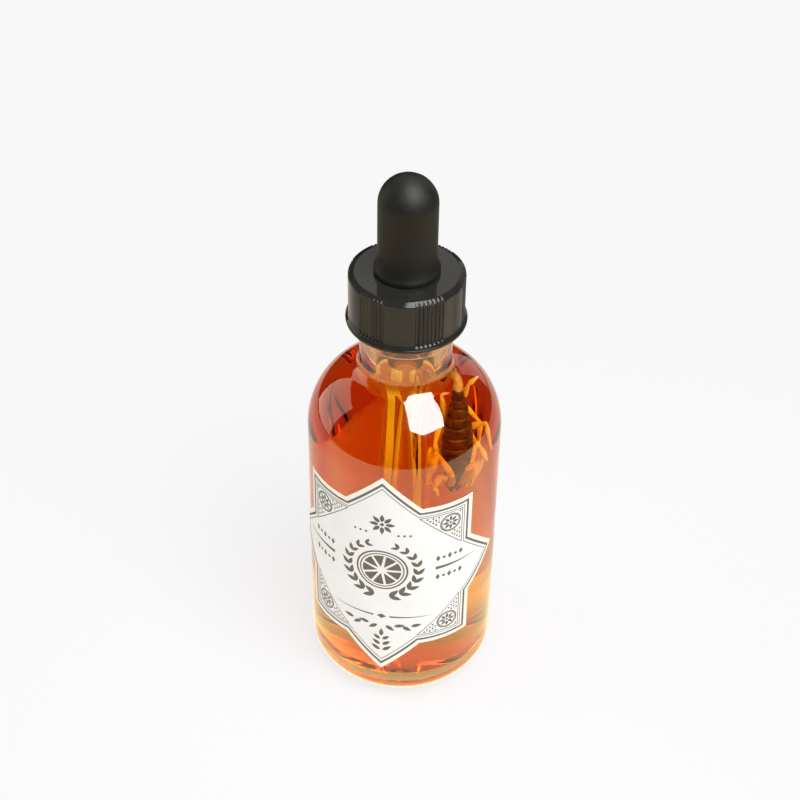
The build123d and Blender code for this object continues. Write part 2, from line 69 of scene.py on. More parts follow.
# Glass bottle
body_wall = 1.8
heel_radius = 6.0
inner_heel_radius = 5.0
punt_rise = 1.5
punt_edge_share = 0.4
foot_land = 1.2
foot_round = 0.5
foot_start_degrees = -130
floor_thickness = 2.8
floor_edge_height = 2.7
shoulder_start_height = 62.5
shoulder_radius = 15.5
throat_radius = 3.5
inner_shoulder_drop = 0.7
inner_shoulder_radius = 13.0
inner_throat_radius = 5.0
neck_radius = 9.1
bead_radius = 10.1
bead_base_height = 85.7
bead_top_height = 88.0
bead_round = 0.7
bead_root_round = 0.4
rim_round = 0.7
mouth_radius = 5.9
mould_wave = 0.012
mould_seed = 3
inner_wave = 0.03
inner_seed = 11

# Thread
thread_root_radius = 8.8
thread_pitch = 3.175
thread_depth = 0.95
thread_root_width = 1.7
thread_crest_width = 0.9
thread_start_height = 90.031
bottle_thread_turns = 1.25
bottle_thread_degrees = 0.0
cap_thread_turns = 1.1
cap_thread_degrees = 180.0
thread_crest_clearance = 0.3
thread_fade_degrees = 25.0

# Cap
cap_radius = 11.2
cap_plate_thickness = 1.6
cap_hole_radius = 5.3
cap_bead_thickness = 0.6
cap_flare_height = 1.7
cap_knee_out = 0.08
cap_knee_share = 0.55
cap_bevel_width = 1.2
cap_bevel_height = 0.55
cap_mouth_bevel = 0.35
cap_edge_round = 0.12
cap_corner_share = 0.3
cap_foot_end_degrees = 60
rib_panels = 6
grooves_per_panel = 7
groove_spacing_degrees = 4.3
groove_depth = 0.3
groove_half_width = 0.35
groove_fade = 0.7
first_panel_degrees = -54.5

# Bulb
bulb_radius = 5.7
bulb_foot_radius = 6.35
bulb_foot_lip = 0.9
bulb_foot_flare = 2.6
bulb_flare_power = 2.2
bulb_wall = 1.5
bulb_waist_radius = 5.2
bulb_flange_radius = 8.4
bulb_flange_thickness = 1.5
bulb_foot_round = 0.3
bulb_wave = 0.03
bulb_wave_fade = 3.0
bulb_seed = 41
running_gap = 0.1

# Pipette
pipette_radius = 3.5
pipette_bore_radius = 2.5
pipette_head_radius = 4.1
pipette_head_height = 2.4
pipette_taper_length = 17.0
pipette_tip_radius = 1.7
pipette_tip_bore_radius = 0.75
pipette_tip_length = 4.0
pipette_edge_round = 0.35
pipette_tip_top = pipette_low.z + pipette_tip_length
pipette_taper_top = pipette_tip_top + pipette_taper_length
draw_wave = 0.04
draw_margin = 0.01
draw_stop_below_rim = 1.0
draw_seed = 23

# Bitters
meniscus_rise = 0.5
film_gap = 0.02
floor_film_reach = 2.0

# Fineness of the meshes: segments round the axis, and the longest steps of straight stretches
bottle_segments = 288
pipette_segments = 160
bitters_segments = 192
column_segments = 96
cap_segments = 1440
bulb_segments = 192
long_step = 1.6
middle_step = 1.0
short_step = 0.8
foot_step = 0.6
thread_step = 0.14
flare_step = 0.2
rib_step = 0.7
bevel_step = 0.12
cavity_step = 2.0
curve_steps = 12
joint_gap = 1e-4
hair = 1e-6
wave_count = 7
waves_round = (1, 6)
waves_up = (0.5, 5.0)

# Labels
label_gap = 0.012
star_side = 38.5
back_label_width = 32.7
back_label_height = 54.4
back_label_notch = 2.2
front_degrees = -90.0
back_degrees = 90.0
ink_thickness = 0.012
print_root_share = 1.5
bend_step = 0.7

# Border lines of the labels
border_margin = 0.95
border_thickness = 0.5
thin_line_gap = 0.5
thin_line_thickness = 0.16

# Leaves, the citrus wheel and the anise star: shares of their length or radius
leaf_belly_share = 0.42
leaf_steps = 7
wheel_parts = 9
wheel_gap_degrees = 7.0
wheel_tip_share = 0.16
wheel_flesh_share = 0.74
wheel_ring_shares = ((1.0, 0.93), (0.86, 0.81))
wheel_sides = 48
anise_petals = 8
anise_dot_share = 0.16
anise_start_share = 0.25
anise_petal_shares = (0.75, 0.34)

# Front label's design: places from its middle. Beads have their start, end, step and size, rules their
# start, end and thickness, leaves and lozenges their length and width.
wreath_height = 2.2
wheel_radius = 5.4
wreath_radius = 7.4
wreath_degrees = (-78, 62)
wreath_leaves = 9
wreath_leaf_length = 2.7
wreath_leaf_width_share = 0.42
wreath_shrink = 0.35
wreath_lean_degrees = 32
anise_height = 14.9
anise_radius = 2.7
dot_height = 12.2
dot_places = (3.3, 4.5, 5.7)
dot_radius = 0.28
beads_off_wreath = 2.6
bead_dot_share = 0.3
bead_lozenge_shares = (0.8, 1.35)
side_beads = (11.5, 17.0, 1.3, 1.2)
side_rule = (11.0, 21.0, 0.8)
low_rule_height = -11.2
low_rule = (1.7, 11.5, 0.45)
low_lozenge = (2.0, 1.3)
garland_height = -13.9
garland_start = 0.9
garland_step = 1.75
garland_leaves = 4
garland_leaf = (2.3, 0.95)
garland_degrees = (-38, 8)
sprig_height = -21.6
sprig_step = 1.7
sprig_out = 0.25
sprig_pairs = 3
sprig_leaf_length = 2.4
sprig_leaf_shrink = 0.3
sprig_leaf_width = 0.9
sprig_lean_degrees = 52
sprig_top_height = -17.2
sprig_top_length = 2.2

# Corner ornaments of the front label. A ring has its share of the radius and its thickness.
ornament_inset = 2.45
ornament_reach = 9.6
ornament_line = 0.18
rosette_radius = 2.35
rosette_anise_share = 0.78
rosette_rings = ((1.0, 0.3), (0.84, 0.12))
rosette_sides = 40
rosette_gap = 0.4
lattice_step = 0.6
lattice_inset = 0.62
lattice_edge_gap = 0.75
lattice_shares = (0.95, 0.45)

# Back label's design, in the same way
back_wheel_height = 16.5
back_wheel_radius = 4.2
back_leaf_out = 5.2
back_leaf_step = 1.1
back_leaf = (3.8, 1.3)
back_leaf_degrees = (28, -2, -32)
back_rows = 7
back_row_height = 8.4
back_row_step = 3.1
back_rule_start = 1.6
back_rule = (11.6, 0.34)
back_lozenge = (1.7, 1.0)
back_bead_height = -14.2
back_beads = (1.0, 10.6, 1.2, 1.1)
back_anise_height = -19.2
back_anise_radius = 2.9

# Scorpion: its place in the room between pipette and wall, and shares of its body's length. Points are
# (across, outwards, from head to tail), and a fourth number is a radius.
scorpion_room_share = 1.373
scorpion_place_share = 0.2676
scorpion_crown_share = 1.1128
scorpion_crown_rise = 10.7
scorpion_y = -0.2
scorpion_turn_degrees = 32.0
scorpion_lean_degrees = 7.0
carapace_length_share = 0.3
carapace_width_shares = (0.06, 0.085, 0.105, 0.12)
brow_share = 0.012
brow_width_share = 0.7
eye_out_share = 0.017
eye_depth_share = 0.98
eye_height_share = 0.115
eye_radius_share = 0.011
jaw_shares = ((0.022, -0.005, -0.005, 0.022), (0.026, -0.012, -0.035, 0.02), (0.018, -0.02, -0.062, 0.007))
abdomen_width_shares = (0.125, 0.125, 0.12, 0.105, 0.09, 0.072, 0.055)
# Along a plate, and the share of its width
plate_profile = ((0.0, 0.86), (0.08, 0.93), (0.45, 1.0), (0.82, 1.0), (0.93, 0.97), (0.98, 0.88))
# Along a plate from its middle, the share of its depth, and a radius
ridge_profile = ((-0.4, 0.93, 0.008), (0.0, 0.97, 0.012), (0.35, 0.93, 0.007))
body_flatness_share = 0.72
body_sides = 28
tail_shares = (
    (0.0, 0.02, 0.96),
    (0.03, 0.09, 1.04),
    (-0.015, 0.16, 1.09),
    (-0.062, 0.22, 1.1),
    (-0.11, 0.33, 1.08),
    (-0.12, 0.42, 1.0),
)
tail_radius_share = 0.052
tail_taper_share = 0.9
sting_shares = ((-0.12, 0.42, 1.0), (-0.115, 0.44, 0.91), (-0.1, 0.41, 0.86))
sting_radius_share = 0.042
sting_profile = (0.55, 1.0, 0.5, 0.27, 0.1)
pincer_arm_shares = {
    "left": ((-0.035, -0.025, 0.03), (-0.09, -0.2, 0.27), (-0.245, -0.2, 0.5)),
    "right": ((0.035, -0.025, 0.03), (0.05, -0.18, 0.3), (0.17, -0.21, 0.37)),
}
pincer_hand_shares = {
    "left": ((-0.245, -0.2, 0.5), (-0.29, -0.235, 0.34)),
    "right": ((0.17, -0.21, 0.37), (0.1, -0.25, 0.2)),
}
pincer_finger_shares = {
    "left": (
        ((-0.28, -0.225, 0.36), (-0.285, -0.25, 0.27), (-0.245, -0.25, 0.2)),
        ((-0.285, -0.23, 0.36), (-0.31, -0.26, 0.28), (-0.29, -0.27, 0.19)),
    ),
    "right": (
        ((0.1, -0.25, 0.23), (0.1, -0.27, 0.14), (0.06, -0.27, 0.08)),
        ((0.105, -0.245, 0.23), (0.06, -0.25, 0.16), (0.05, -0.27, 0.09)),
    ),
}
pincer_arm_radius_share = 0.03
pincer_wrist_share = 0.75
pincer_hand_radius_share = 0.052
pincer_finger_radius_share = 0.017
pincer_root_share = 1.2
pincer_point_share = 0.6
leg_shares = {
    "left": (
        ((-0.055, -0.015, 0.11), (-0.15, -0.06, 0.165), (-0.18, -0.09, 0.07), (-0.15, -0.11, -0.02)),
        ((-0.07, 0.01, 0.17), (-0.16, -0.01, 0.28), (-0.215, 0.0, 0.38),
         (-0.23, -0.03, 0.25), (-0.23, -0.02, 0.13)),
        ((-0.075, 0.05, 0.24), (-0.14, 0.08, 0.36), (-0.15, 0.03, 0.57),
         (-0.2, -0.04, 0.47), (-0.175, -0.06, 0.33)),
        ((-0.045, 0.07, 0.31), (-0.07, 0.17, 0.46), (-0.1, 0.07, 0.68),
         (-0.149, 0.05, 0.93), (-0.09, 0.05, 0.92)),
    ),
    "right": (
        ((0.06, -0.02, 0.125), (0.14, -0.03, 0.42), (0.18, 0.0, 0.345), (0.231, 0.0, 0.223)),
        ((0.075, 0.04, 0.195), (0.15, 0.045, 0.3), (0.105, 0.08, 0.48),
         (0.242, 0.0, 0.577), (0.264, 0.0, 0.339)),
        ((0.055, 0.06, 0.265), (0.08, 0.14, 0.42), (0.086, 0.16, 0.64),
         (0.21, 0.13, 0.468), (0.187, 0.1, 0.324)),
        ((0.012, 0.075, 0.31), (0.0, 0.2, 0.45), (0.105, 0.235, 0.62),
         (0.165, 0.23, 0.795), (0.25, 0.25, 0.86)),
    ),
}
leg_radius_share = 0.021
leg_root_share = 1.15
leg_tip_radius_share = 0.009
leg_end_share = 1.5
claw_lean = Vector((0.5, 0.25, 0))
claw_root_share = 0.8
claw_point_share = 0.2
joint_share = 1.12
level_way_limit = 0.05

# Colours in linear light: the two that a material's mottle runs between
cream_colours = ((0.90, 0.84, 0.73, 1.0), (0.93, 0.88, 0.78, 1.0))
field_colours = ((0.84, 0.83, 0.80, 1.0), (0.88, 0.87, 0.84, 1.0))
ink_colours = ((0.07, 0.065, 0.055, 1.0), (0.10, 0.095, 0.085, 1.0))
cap_colours = ((0.017, 0.017, 0.015, 1.0), (0.022, 0.021, 0.019, 1.0))
rubber_colours = ((0.006, 0.006, 0.005, 1.0), (0.010, 0.0095, 0.008, 1.0))
dark_shell_colours = ((0.045, 0.009, 0.005, 1.0), (0.15, 0.028, 0.015, 1.0))
amber_shell_colours = ((0.78, 0.52, 0.2, 1.0), (0.95, 0.78, 0.42, 1.0))
brown_shell_colours = ((0.45, 0.19, 0.03, 1.0), (0.75, 0.38, 0.08, 1.0))
white = (1.0, 1.0, 1.0, 1.0)

# Glass and liquid
glass_index = 1.5
liquid_index = 1.36
liquid_colour = (0.994, 0.81, 0.0, 1.0)
liquid_density = 170.0
noise_reach = (0.3, 0.7)

# Stage and lights, in metres and radiance
page_white = 0.94
page_colour = (page_white, page_white, page_white, 1.0)
sheet_radius = 0.29
sheet_height = -0.0002
sheet_colour = (0.9, 0.9, 0.9, 1.0)
wide_floor_radius = 6.0
wide_floor_height = -0.001
shadow_reach = (0.05, 0.2)
page_share = 0.8
# Pool of warm light painted on the sheet, which only reflections show
painted_pool_light = (2.6, 2.05, 1.2, 1.0)
ambient_level = 0.4
dark_level = 0.012
room_level = 0.4
far_floor_level = 0.8
inside_level = 1.15
# Painted shadow under the bottle, tinted amber, which only views through clear things show
bottle_shade = (0.45, 0.3, 0.15, 1.0)
bottle_shade_reach = (0.018, 0.0265)
rear_shade = (0.5, 0.22, 0.08, 1.0)
rear_shade_reach = (0.045, 0.07)
pool_way = (-0.3, 1.0, 0.0)
pool_reach = (-0.015, 0.025)
plain_sheet = (0.95, 0.85, 0.72, 1.0)
inside_colour = (1.0, 0.55, 0.45, 1.0)
room_horizon = (-0.02, 0.25)
room_colour = (1.0, 0.74, 0.5, 1.0)
lamp_aim = Vector((0, 0, 0.075))
key_power = 3.6
fill_power = 0.75
softbox_level = 22.0
left_card_colour = (2.4, 2.35, 1.8, 1.0)
pale_card_colour = (0.95, 0.93, 0.88, 1.0)
back_card_colour = (1.9, 1.85, 1.75, 1.0)
softbox_outline = (
    (0.119, -0.239),
    (0.19, 0.1),
    (0.16, 0.3),
    (-0.02, 0.3),
    (-0.238, -0.104),
    (-0.155, -0.237),
)
ray_bounces = 32

# Camera of the photograph, fitted to the outline of the front bottle
camera_place = (0.05493, -0.25897, 0.28832)
camera_heading, camera_pitch, camera_roll = 12.187, 39.797, 0.891
camera_lens = 77.59
camera_sensor = 36.0
camera_clip = (0.01, 20.0)


def polar(x, y, radius, turn):
    """The point at a radius and an angle from a middle."""
    return x + radius * math.cos(turn), y + radius * math.sin(turn)


def arc(centre_radius, centre_height, radius, start_degrees, end_degrees, steps):
    """Points of a circular arc of an outline."""
    points = []
    for step in range(steps + 1):
        turn = math.radians(start_degrees + (end_degrees - start_degrees) * step / steps)
        points.append(polar(centre_radius, centre_height, radius, turn))
    return points


def line(start, end, step):
    """Points of a straight stretch of an outline, no more than a step apart."""
    count = max(1, math.ceil(math.dist(start, end) / step))
    return [
        (start[0] + (end[0] - start[0]) * place / count, start[1] + (end[1] - start[1]) * place / count)
        for place in range(count + 1)
    ]


def dome(centre_height, edge_radius, edge_height):
    """A shallow arc from the axis to an edge."""
    rise = centre_height - edge_height
    radius = (edge_radius**2 + rise**2) / (2 * rise)
    sweep = math.degrees(math.asin(edge_radius / radius))
    return arc(0, centre_height - radius, radius, 90, 90 - sweep, steps=14)


def joined(*stretches):
    """One outline from stretches that meet end to end."""
    outline = []
    for stretch in stretches:
        for point in stretch:
            if not outline or math.dist(point, outline[-1]) > joint_gap:
                outline.append(point)
    return outline


def shoulder(side_radius, start_height, round_radius, neck_side_radius, hollow_radius):
    """A round shoulder that meets a neck through a hollow throat."""
    round_centre = side_radius - round_radius
    hollow_centre = neck_side_radius + hollow_radius
    across = hollow_centre - round_centre
    rise = math.sqrt((round_radius + hollow_radius) ** 2 - across**2)
    turn = math.degrees(math.atan2(rise, across))
    return joined(
        arc(round_centre, start_height, round_radius, 0, turn, steps=40),
        arc(hollow_centre, start_height + rise, hollow_radius, 180 + turn, 180, steps=20),
    )


def inner_outline(top_height):
    """The inside of the glass, from the middle of the floor up to a height in the neck."""
    side = body_radius - body_wall
    floor_edge = side - inner_heel_radius
    heel_height = floor_edge_height + inner_heel_radius
    start = shoulder_start_height - inner_shoulder_drop
    rounded = shoulder(side, start, inner_shoulder_radius, mouth_radius, inner_throat_radius)
    return joined(
        dome(punt_rise + floor_thickness, floor_edge, floor_edge_height),
        arc(floor_edge, heel_height, inner_heel_radius, -90, 0, steps=20),
        line((side, heel_height), (side, start), long_step),
        rounded,
        line(rounded[-1], (mouth_radius, top_height), middle_step),
    )


def outer_outline():
    """The outside of the glass, from the middle of the punt up to the rim's top."""
    foot_outer = body_radius - heel_radius
    foot_inner = foot_outer - foot_land
    rounded = shoulder(body_radius, shoulder_start_height, shoulder_radius, neck_radius, throat_radius)
    bead_flat = bead_radius - bead_round
    neck_top = bead_base_height - bead_root_round
    root_height = bead_top_height + bead_root_round
    rim_base = rim_height - rim_round
    return joined(
        dome(punt_rise, foot_inner - foot_round, foot_round * punt_edge_share),
        arc(foot_inner, foot_round, foot_round, foot_start_degrees, -90, steps=5),
        line((foot_inner, 0), (foot_outer, 0), foot_step),
        arc(foot_outer, heel_radius, heel_radius, -90, 0, steps=26),
        line((body_radius, heel_radius), (body_radius, shoulder_start_height), long_step),
        rounded,
        line(rounded[-1], (neck_radius, neck_top), short_step),
        arc(neck_radius + bead_root_round, neck_top, bead_root_round, 180, 90, steps=5),
        arc(bead_flat, bead_base_height + bead_round, bead_round, -90, 0, steps=8),
        arc(bead_flat, bead_top_height - bead_round, bead_round, 0, 90, steps=8),
        arc(thread_root_radius + bead_root_round, root_height, bead_root_round, -90, -180, steps=5),
        line((thread_root_radius, root_height), (thread_root_radius, rim_base), thread_step),
        arc(thread_root_radius - rim_round, rim_base, rim_round, 0, 90, steps=8),
        arc(mouth_radius + rim_round, rim_base, rim_round, 90, 180, steps=8),
    )


def wave(seed, amplitude, tallest):
    """A smooth, seeded unevenness of moulded or drawn glass, by angle and height."""
    dice = random.Random(seed)
    terms = [
        (dice.randint(*waves_round), dice.uniform(*waves_up) * math.tau / tallest, dice.uniform(0, math.tau))
        for _ in range(wave_count)
    ]

    def rise(turn, height):
        total = sum(math.sin(around * turn + up * height + start) for around, up, start in terms)
        return amplitude * total / wave_count * 2

    return rise


def smooth(value):
    """0 to 1 with level ends."""
    value = min(1.0, max(0.0, value))
    return value * value * (3 - 2 * value)


def held_share(height, base):
    """How much of the glass's unevenness a height keeps: none at a base and at the bead."""
    return smooth((height - base) / heel_radius) * smooth((bead_base_height - height) / heel_radius)


def uneven_inside():
    """Moves the inside of the glass, and the liquid that fills it, by one seeded unevenness."""
    rise = wave(inner_seed, inner_wave, rim_height)

    def moved(turn, radius, height):
        return radius + rise(turn, height) * held_share(height, floor_edge_height), height

    return moved


def thread_rise(turn, height, turns, start_degrees):
    """How far the thread stands out at an angle and a height."""
    half_root, half_crest = thread_root_width / 2, thread_crest_width / 2
    best = 0.0
    whole = turns * 360
    degrees = (math.degrees(turn) - start_degrees) % 360
    while degrees <= whole:
        middle = thread_start_height + thread_pitch * degrees / 360
        share = smooth((half_root - abs(height - middle)) / (half_root - half_crest))
        ends = min(degrees, whole - degrees) / thread_fade_degrees
        best = max(best, share * smooth(ends))
        degrees += 360
    return best * thread_depth


def turned_mesh(name, outline, segments, closed=False, shape=None, slot_of=None):
    """A mesh turned about the bottle's axis. shape(place, turn, radius, height) may move a ring's points."""
    mesh_work = bmesh.new()
    rings = []
    for place, (radius, height) in enumerate(outline):
        if radius < hair:
            rings.append([mesh_work.verts.new((0, 0, height * MM))])
            continue
        ring = []
        for segment in range(segments):
            turn = math.tau * segment / segments
            at_radius, at_height = shape(place, turn, radius, height) if shape else (radius, height)
            point = (*polar(0, 0, at_radius, turn), at_height)
            ring.append(mesh_work.verts.new([axis * MM for axis in point]))
        rings.append(ring)
    pairs = list(zip(range(len(rings) - 1), range(1, len(rings))))
    if closed:
        pairs.append((len(rings) - 1, 0))
    for first, second in pairs:
        low, high = rings[first], rings[second]
        if len(low) == len(high) == 1:
            continue
        for segment in range(segments):
            after = (segment + 1) % segments
            if len(low) == 1:
                corners = [low[0], high[after], high[segment]]
            elif len(high) == 1:
                corners = [low[segment], low[after], high[0]]
            else:
                corners = [low[segment], low[after], high[after], high[segment]]
            face = mesh_work.faces.new(corners)
            face.smooth = True
            if slot_of:
                face.material_index = slot_of(first)
    bmesh.ops.recalc_face_normals(mesh_work, faces=mesh_work.faces)
    return finished(name, mesh_work)


def linked(name, data):
    """A new object of the scene."""
    made = bpy.data.objects.new(name, data)
    bpy.context.scene.collection.objects.link(made)
    return made


def finished(name, mesh_work, sharp_degrees=35.0):
    """A scene object from a bmesh, smooth but for its sharp edges."""
    mesh = bpy.data.meshes.new(name)
    mesh_work.to_mesh(mesh)
    mesh_work.free()
    mesh.set_sharp_from_angle(angle=math.radians(sharp_degrees))
    return linked(name, mesh)


def dress(piece, body, slot, materials, *nodes):
    """Gives a piece its materials, the body it rides on and the nodes that it stands for; its slot is not
    used.
    """
    for material in materials:
        piece.data.materials.append(material)
    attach(piece, body)
    if nodes:
        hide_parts(*nodes)


def feed(tree, socket, value):
    """Links an output to an input socket, or sets the socket to a constant."""
    if isinstance(value, bpy.types.NodeSocket):
        tree.links.new(value, socket)
    else:
        socket.default_value = value


def set_inputs(tree, node, **inputs):
    """Feeds a node's input sockets by their names, with _ for a space."""
    for name, value in inputs.items():
        feed(tree, node.inputs[name.replace("_", " ")], value)
    return node


def add_node(tree, kind, **inputs):
    """A new node with some of its input sockets fed."""
    return set_inputs(tree, tree.nodes.new(kind), **inputs)


def worked_out(tree, operation, first, second):
    """The result of an operation on two values."""
    node = tree.nodes.new("ShaderNodeMath")
    node.operation = operation
    feed(tree, node.inputs[0], first)
    feed(tree, node.inputs[1], second)
    return node.outputs[0]


def ranged(tree, value, reach, low=0.0, high=1.0):
    """A value spread from a reach of its own to two others."""
    node = add_node(tree, "ShaderNodeMapRange", Value=value, From_Min=reach[0], From_Max=reach[1])
    set_inputs(tree, node, To_Min=low, To_Max=high)
    return node.outputs["Result"]


def mixed_colour(tree, share, first, second):
    """A colour between two, by a share."""
    node = tree.nodes.new("ShaderNodeMix")
    node.data_type = "RGBA"
    return set_inputs(tree, node, Factor=share, A=first, B=second).outputs["Result"]


def noise(tree, scale, detail, stretch=(1, 1, 1)):
    """A noise of so many waves a metre, in the object's own coordinates."""
    place = tree.nodes.new("ShaderNodeTexCoord").outputs["Object"]
    way = add_node(tree, "ShaderNodeMapping", Vector=place, Scale=stretch).outputs["Vector"]
    return add_node(tree, "ShaderNodeTexNoise", Vector=way, Scale=scale, Detail=detail).outputs["Fac"]


def bump(tree, shader, texture, depth):
    """Drives a shader's normal from a texture, with a real depth in metres."""
    node = add_node(tree, "ShaderNodeBump", Strength=1.0, Distance=depth, Height=texture)
    set_inputs(tree, shader, Normal=node.outputs["Normal"])


def new_material(name):
    """A new node material, its tree and its principled shader."""
    material = bpy.data.materials.new(name)
    material.use_nodes = True
    tree = material.node_tree
    return material, tree, tree.nodes["Principled BSDF"]


def mottled_material(name, colours, mottle, roughness, grain=None, depth=0.0, **inputs):
    """A solid material. A mottle, (scale, detail, stretch), runs its colour, and its roughness where
    that is a pair; a grain of the same form roughens its surface to a depth."""
    material, tree, shader = new_material(name)
    texture = noise(tree, *mottle)
    if isinstance(roughness, tuple):
        roughness = ranged(tree, texture, noise_reach, *roughness)
    colour = mixed_colour(tree, ranged(tree, texture, noise_reach), *colours)
    set_inputs(tree, shader, Base_Color=colour, Roughness=roughness, **inputs)
    if grain:
        bump(tree, shader, noise(tree, *grain), depth)
    return material


def glass_material(name, index):
    """Clear glass whose index is the ratio of glass to what lies beyond it."""
    material, tree, shader = new_material(name)
    set_inputs(tree, shader, Base_Color=white, Roughness=0.0, Transmission_Weight=1.0, IOR=index)
    bump(tree, shader, noise(tree, scale=90.0, detail=2.0), depth=0.00002)
    return material


def liquid_material():
    """Amber bitters: a clear body that takes off blue first, then green."""
    material, tree, shader = new_material("bitters_liquid")
    tree.nodes.remove(shader)
    film = tree.nodes.new("ShaderNodeBsdfTransparent")
    inside = add_node(tree, "ShaderNodeVolumeAbsorption", Color=liquid_colour, Density=liquid_density)
    output = tree.nodes["Material Output"]
    set_inputs(tree, output, Surface=film.outputs["BSDF"], Volume=inside.outputs["Volume"])
    return material


def cap_material():
    """Glossy black moulding with fine handling marks."""
    return mottled_material(
        "cap_phenolic",
        cap_colours,
        mottle=(500.0, 5.0, (1, 1, 0.4)),
        roughness=(0.07, 0.13),
        grain=(300.0, 2.0),
        depth=0.00001,
        Specular_IOR_Level=0.13,
    )


def rubber_material():
    """Matt black rubber with a fine grain and a faint bloom."""
    return mottled_material(
        "bulb_rubber",
        rubber_colours,
        mottle=(160.0, 6.0),
        roughness=(0.5, 0.6),
        grain=(5000.0, 3.0),
        depth=0.00001,
        Specular_IOR_Level=0.14,
    )


def paper_material(name, colours):
    """Uncoated label paper, a little cloudy and with a fine grain."""
    fibre = (3000.0, 6.0, (1, 1, 0.5))
    return mottled_material(name, colours, mottle=(120.0, 3.0), roughness=0.75, grain=fibre, depth=0.00001)


def ink_material():
    """Dark grey printing ink, a little uneven."""
    return mottled_material("label_ink_grey", ink_colours, mottle=(2500.0, 5.0), roughness=0.6)


def shell_material(name, colours):
    """A scorpion's horny shell, mottled between two colours."""
    return mottled_material(
        name, colours, mottle=(700.0, 5.0), roughness=0.4, grain=(2500.0, 4.0), depth=0.00005
    )


glass_dry = glass_material("flint_glass", glass_index)
glass_wet = glass_material("flint_glass_wet", glass_index / liquid_index)
liquid = liquid_material()
cap_black = cap_material()
rubber_black = rubber_material()
paper = paper_material("label_paper_cream", cream_colours)
paper_field = paper_material("label_paper_field", field_colours)
ink = ink_material()
shell_dark = shell_material("scorpion_shell_dark", dark_shell_colours)
shell_amber = shell_material("scorpion_shell_amber", amber_shell_colours)
shell_brown = shell_material("scorpion_shell_brown", brown_shell_colours)


def make_bottle():
    """The glass bottle, with the thread on its neck and slightly uneven walls."""
    outside = outer_outline()
    outline = joined(outside, reversed(inner_outline(rim_height - rim_round)))
    outer_count = len(outside)
    outer_rise = wave(mould_seed, mould_wave, rim_height)
    inside_moved = uneven_inside()

    def shape(place, turn, radius, height):
        if place >= outer_count:
            return inside_moved(turn, radius, height)
        if height > bead_top_height + bead_root_round:
            return radius + thread_rise(turn, height, bottle_thread_turns, bottle_thread_degrees), height
        return radius - abs(outer_rise(turn, height)) * held_share(height, 0), height

    def slot_of(place):
        return 1 if place >= outer_count - 1 and outline[place][1] < surface_edge_height else 0

    piece = turned_mesh("bottle_glass", outline, bottle_segments, shape=shape, slot_of=slot_of)
    dress(piece, "bottle", "clear_glass", [glass_dry, glass_wet], "glass_bottle")


def pipette_outer(grow=0.0):
    """The outside of the pipette's tip and taper, grown by a gap."""
    tip_side = pipette_tip_radius + grow
    rounding = pipette_edge_round
    round_height = pipette_low.z - grow + rounding
    return joined(
        arc(pipette_tip_radius - rounding + grow, round_height, rounding, -90, 0, steps=6),
        line((tip_side, round_height), (tip_side, pipette_tip_top), middle_step),
        line((tip_side, pipette_tip_top), (pipette_radius + grow, pipette_taper_top), middle_step),
    )


def pipette_bore(top_height, shrink=0.0):
    """The bore, from the tip up to a height."""
    share = min(1.0, (top_height - pipette_tip_top) / pipette_taper_length)
    top_radius = pipette_tip_bore_radius + (pipette_bore_radius - pipette_tip_bore_radius) * share
    tip_side = pipette_tip_bore_radius - shrink
    taper_end = (top_radius - shrink, min(top_height, pipette_taper_top))
    points = joined(
        line((tip_side, pipette_low.z + pipette_edge_round), (tip_side, pipette_tip_top), middle_step),
        line((tip_side, pipette_tip_top), taper_end, middle_step),
    )
    if top_height > pipette_taper_top:
        points = joined(points, line(points[-1], (pipette_bore_radius - shrink, top_height), long_step))
    return points


def make_pipette():
    """The glass pipette, with its wetted stretches inside and out."""
    head_base = pipette_high.z - pipette_head_height
    rounding = pipette_edge_round
    head_side, head_top = pipette_head_radius - rounding, pipette_high.z - rounding
    outside = joined(
        pipette_outer(),
        line((pipette_radius, pipette_taper_top), (pipette_radius, head_base - rounding), long_step),
        arc(pipette_radius + rounding, head_base - rounding, rounding, 180, 90, steps=5),
        arc(head_side, head_base + rounding, rounding, -90, 0, steps=5),
        arc(head_side, head_top, rounding, 0, 90, steps=5),
        arc(pipette_bore_radius + rounding, head_top, rounding, 90, 180, steps=5),
    )
    inside = reversed(pipette_bore(head_top))
    tip = arc(pipette_tip_bore_radius + rounding, pipette_low.z + rounding, rounding, 180, 270, steps=5)
    outline = joined(outside, inside, tip)
    outer_count = len(outside)
    rise = wave(draw_seed, draw_wave, pipette_high.z)

    def shape(place, turn, radius, height):
        if radius < pipette_radius - draw_margin or height > rim_height - draw_stop_below_rim:
            return radius, height
        return radius - abs(rise(turn, height)), height

    def slot_of(place):
        wet_height = surface_edge_height if place < outer_count else column_top_height
        return 1 if outline[place][1] < wet_height else 0

    piece = turned_mesh("pipette_glass_tube", outline, pipette_segments, True, shape, slot_of)
    dress(piece, "dropper", "pipette_glass", [glass_dry, glass_wet], "glass_pipette")


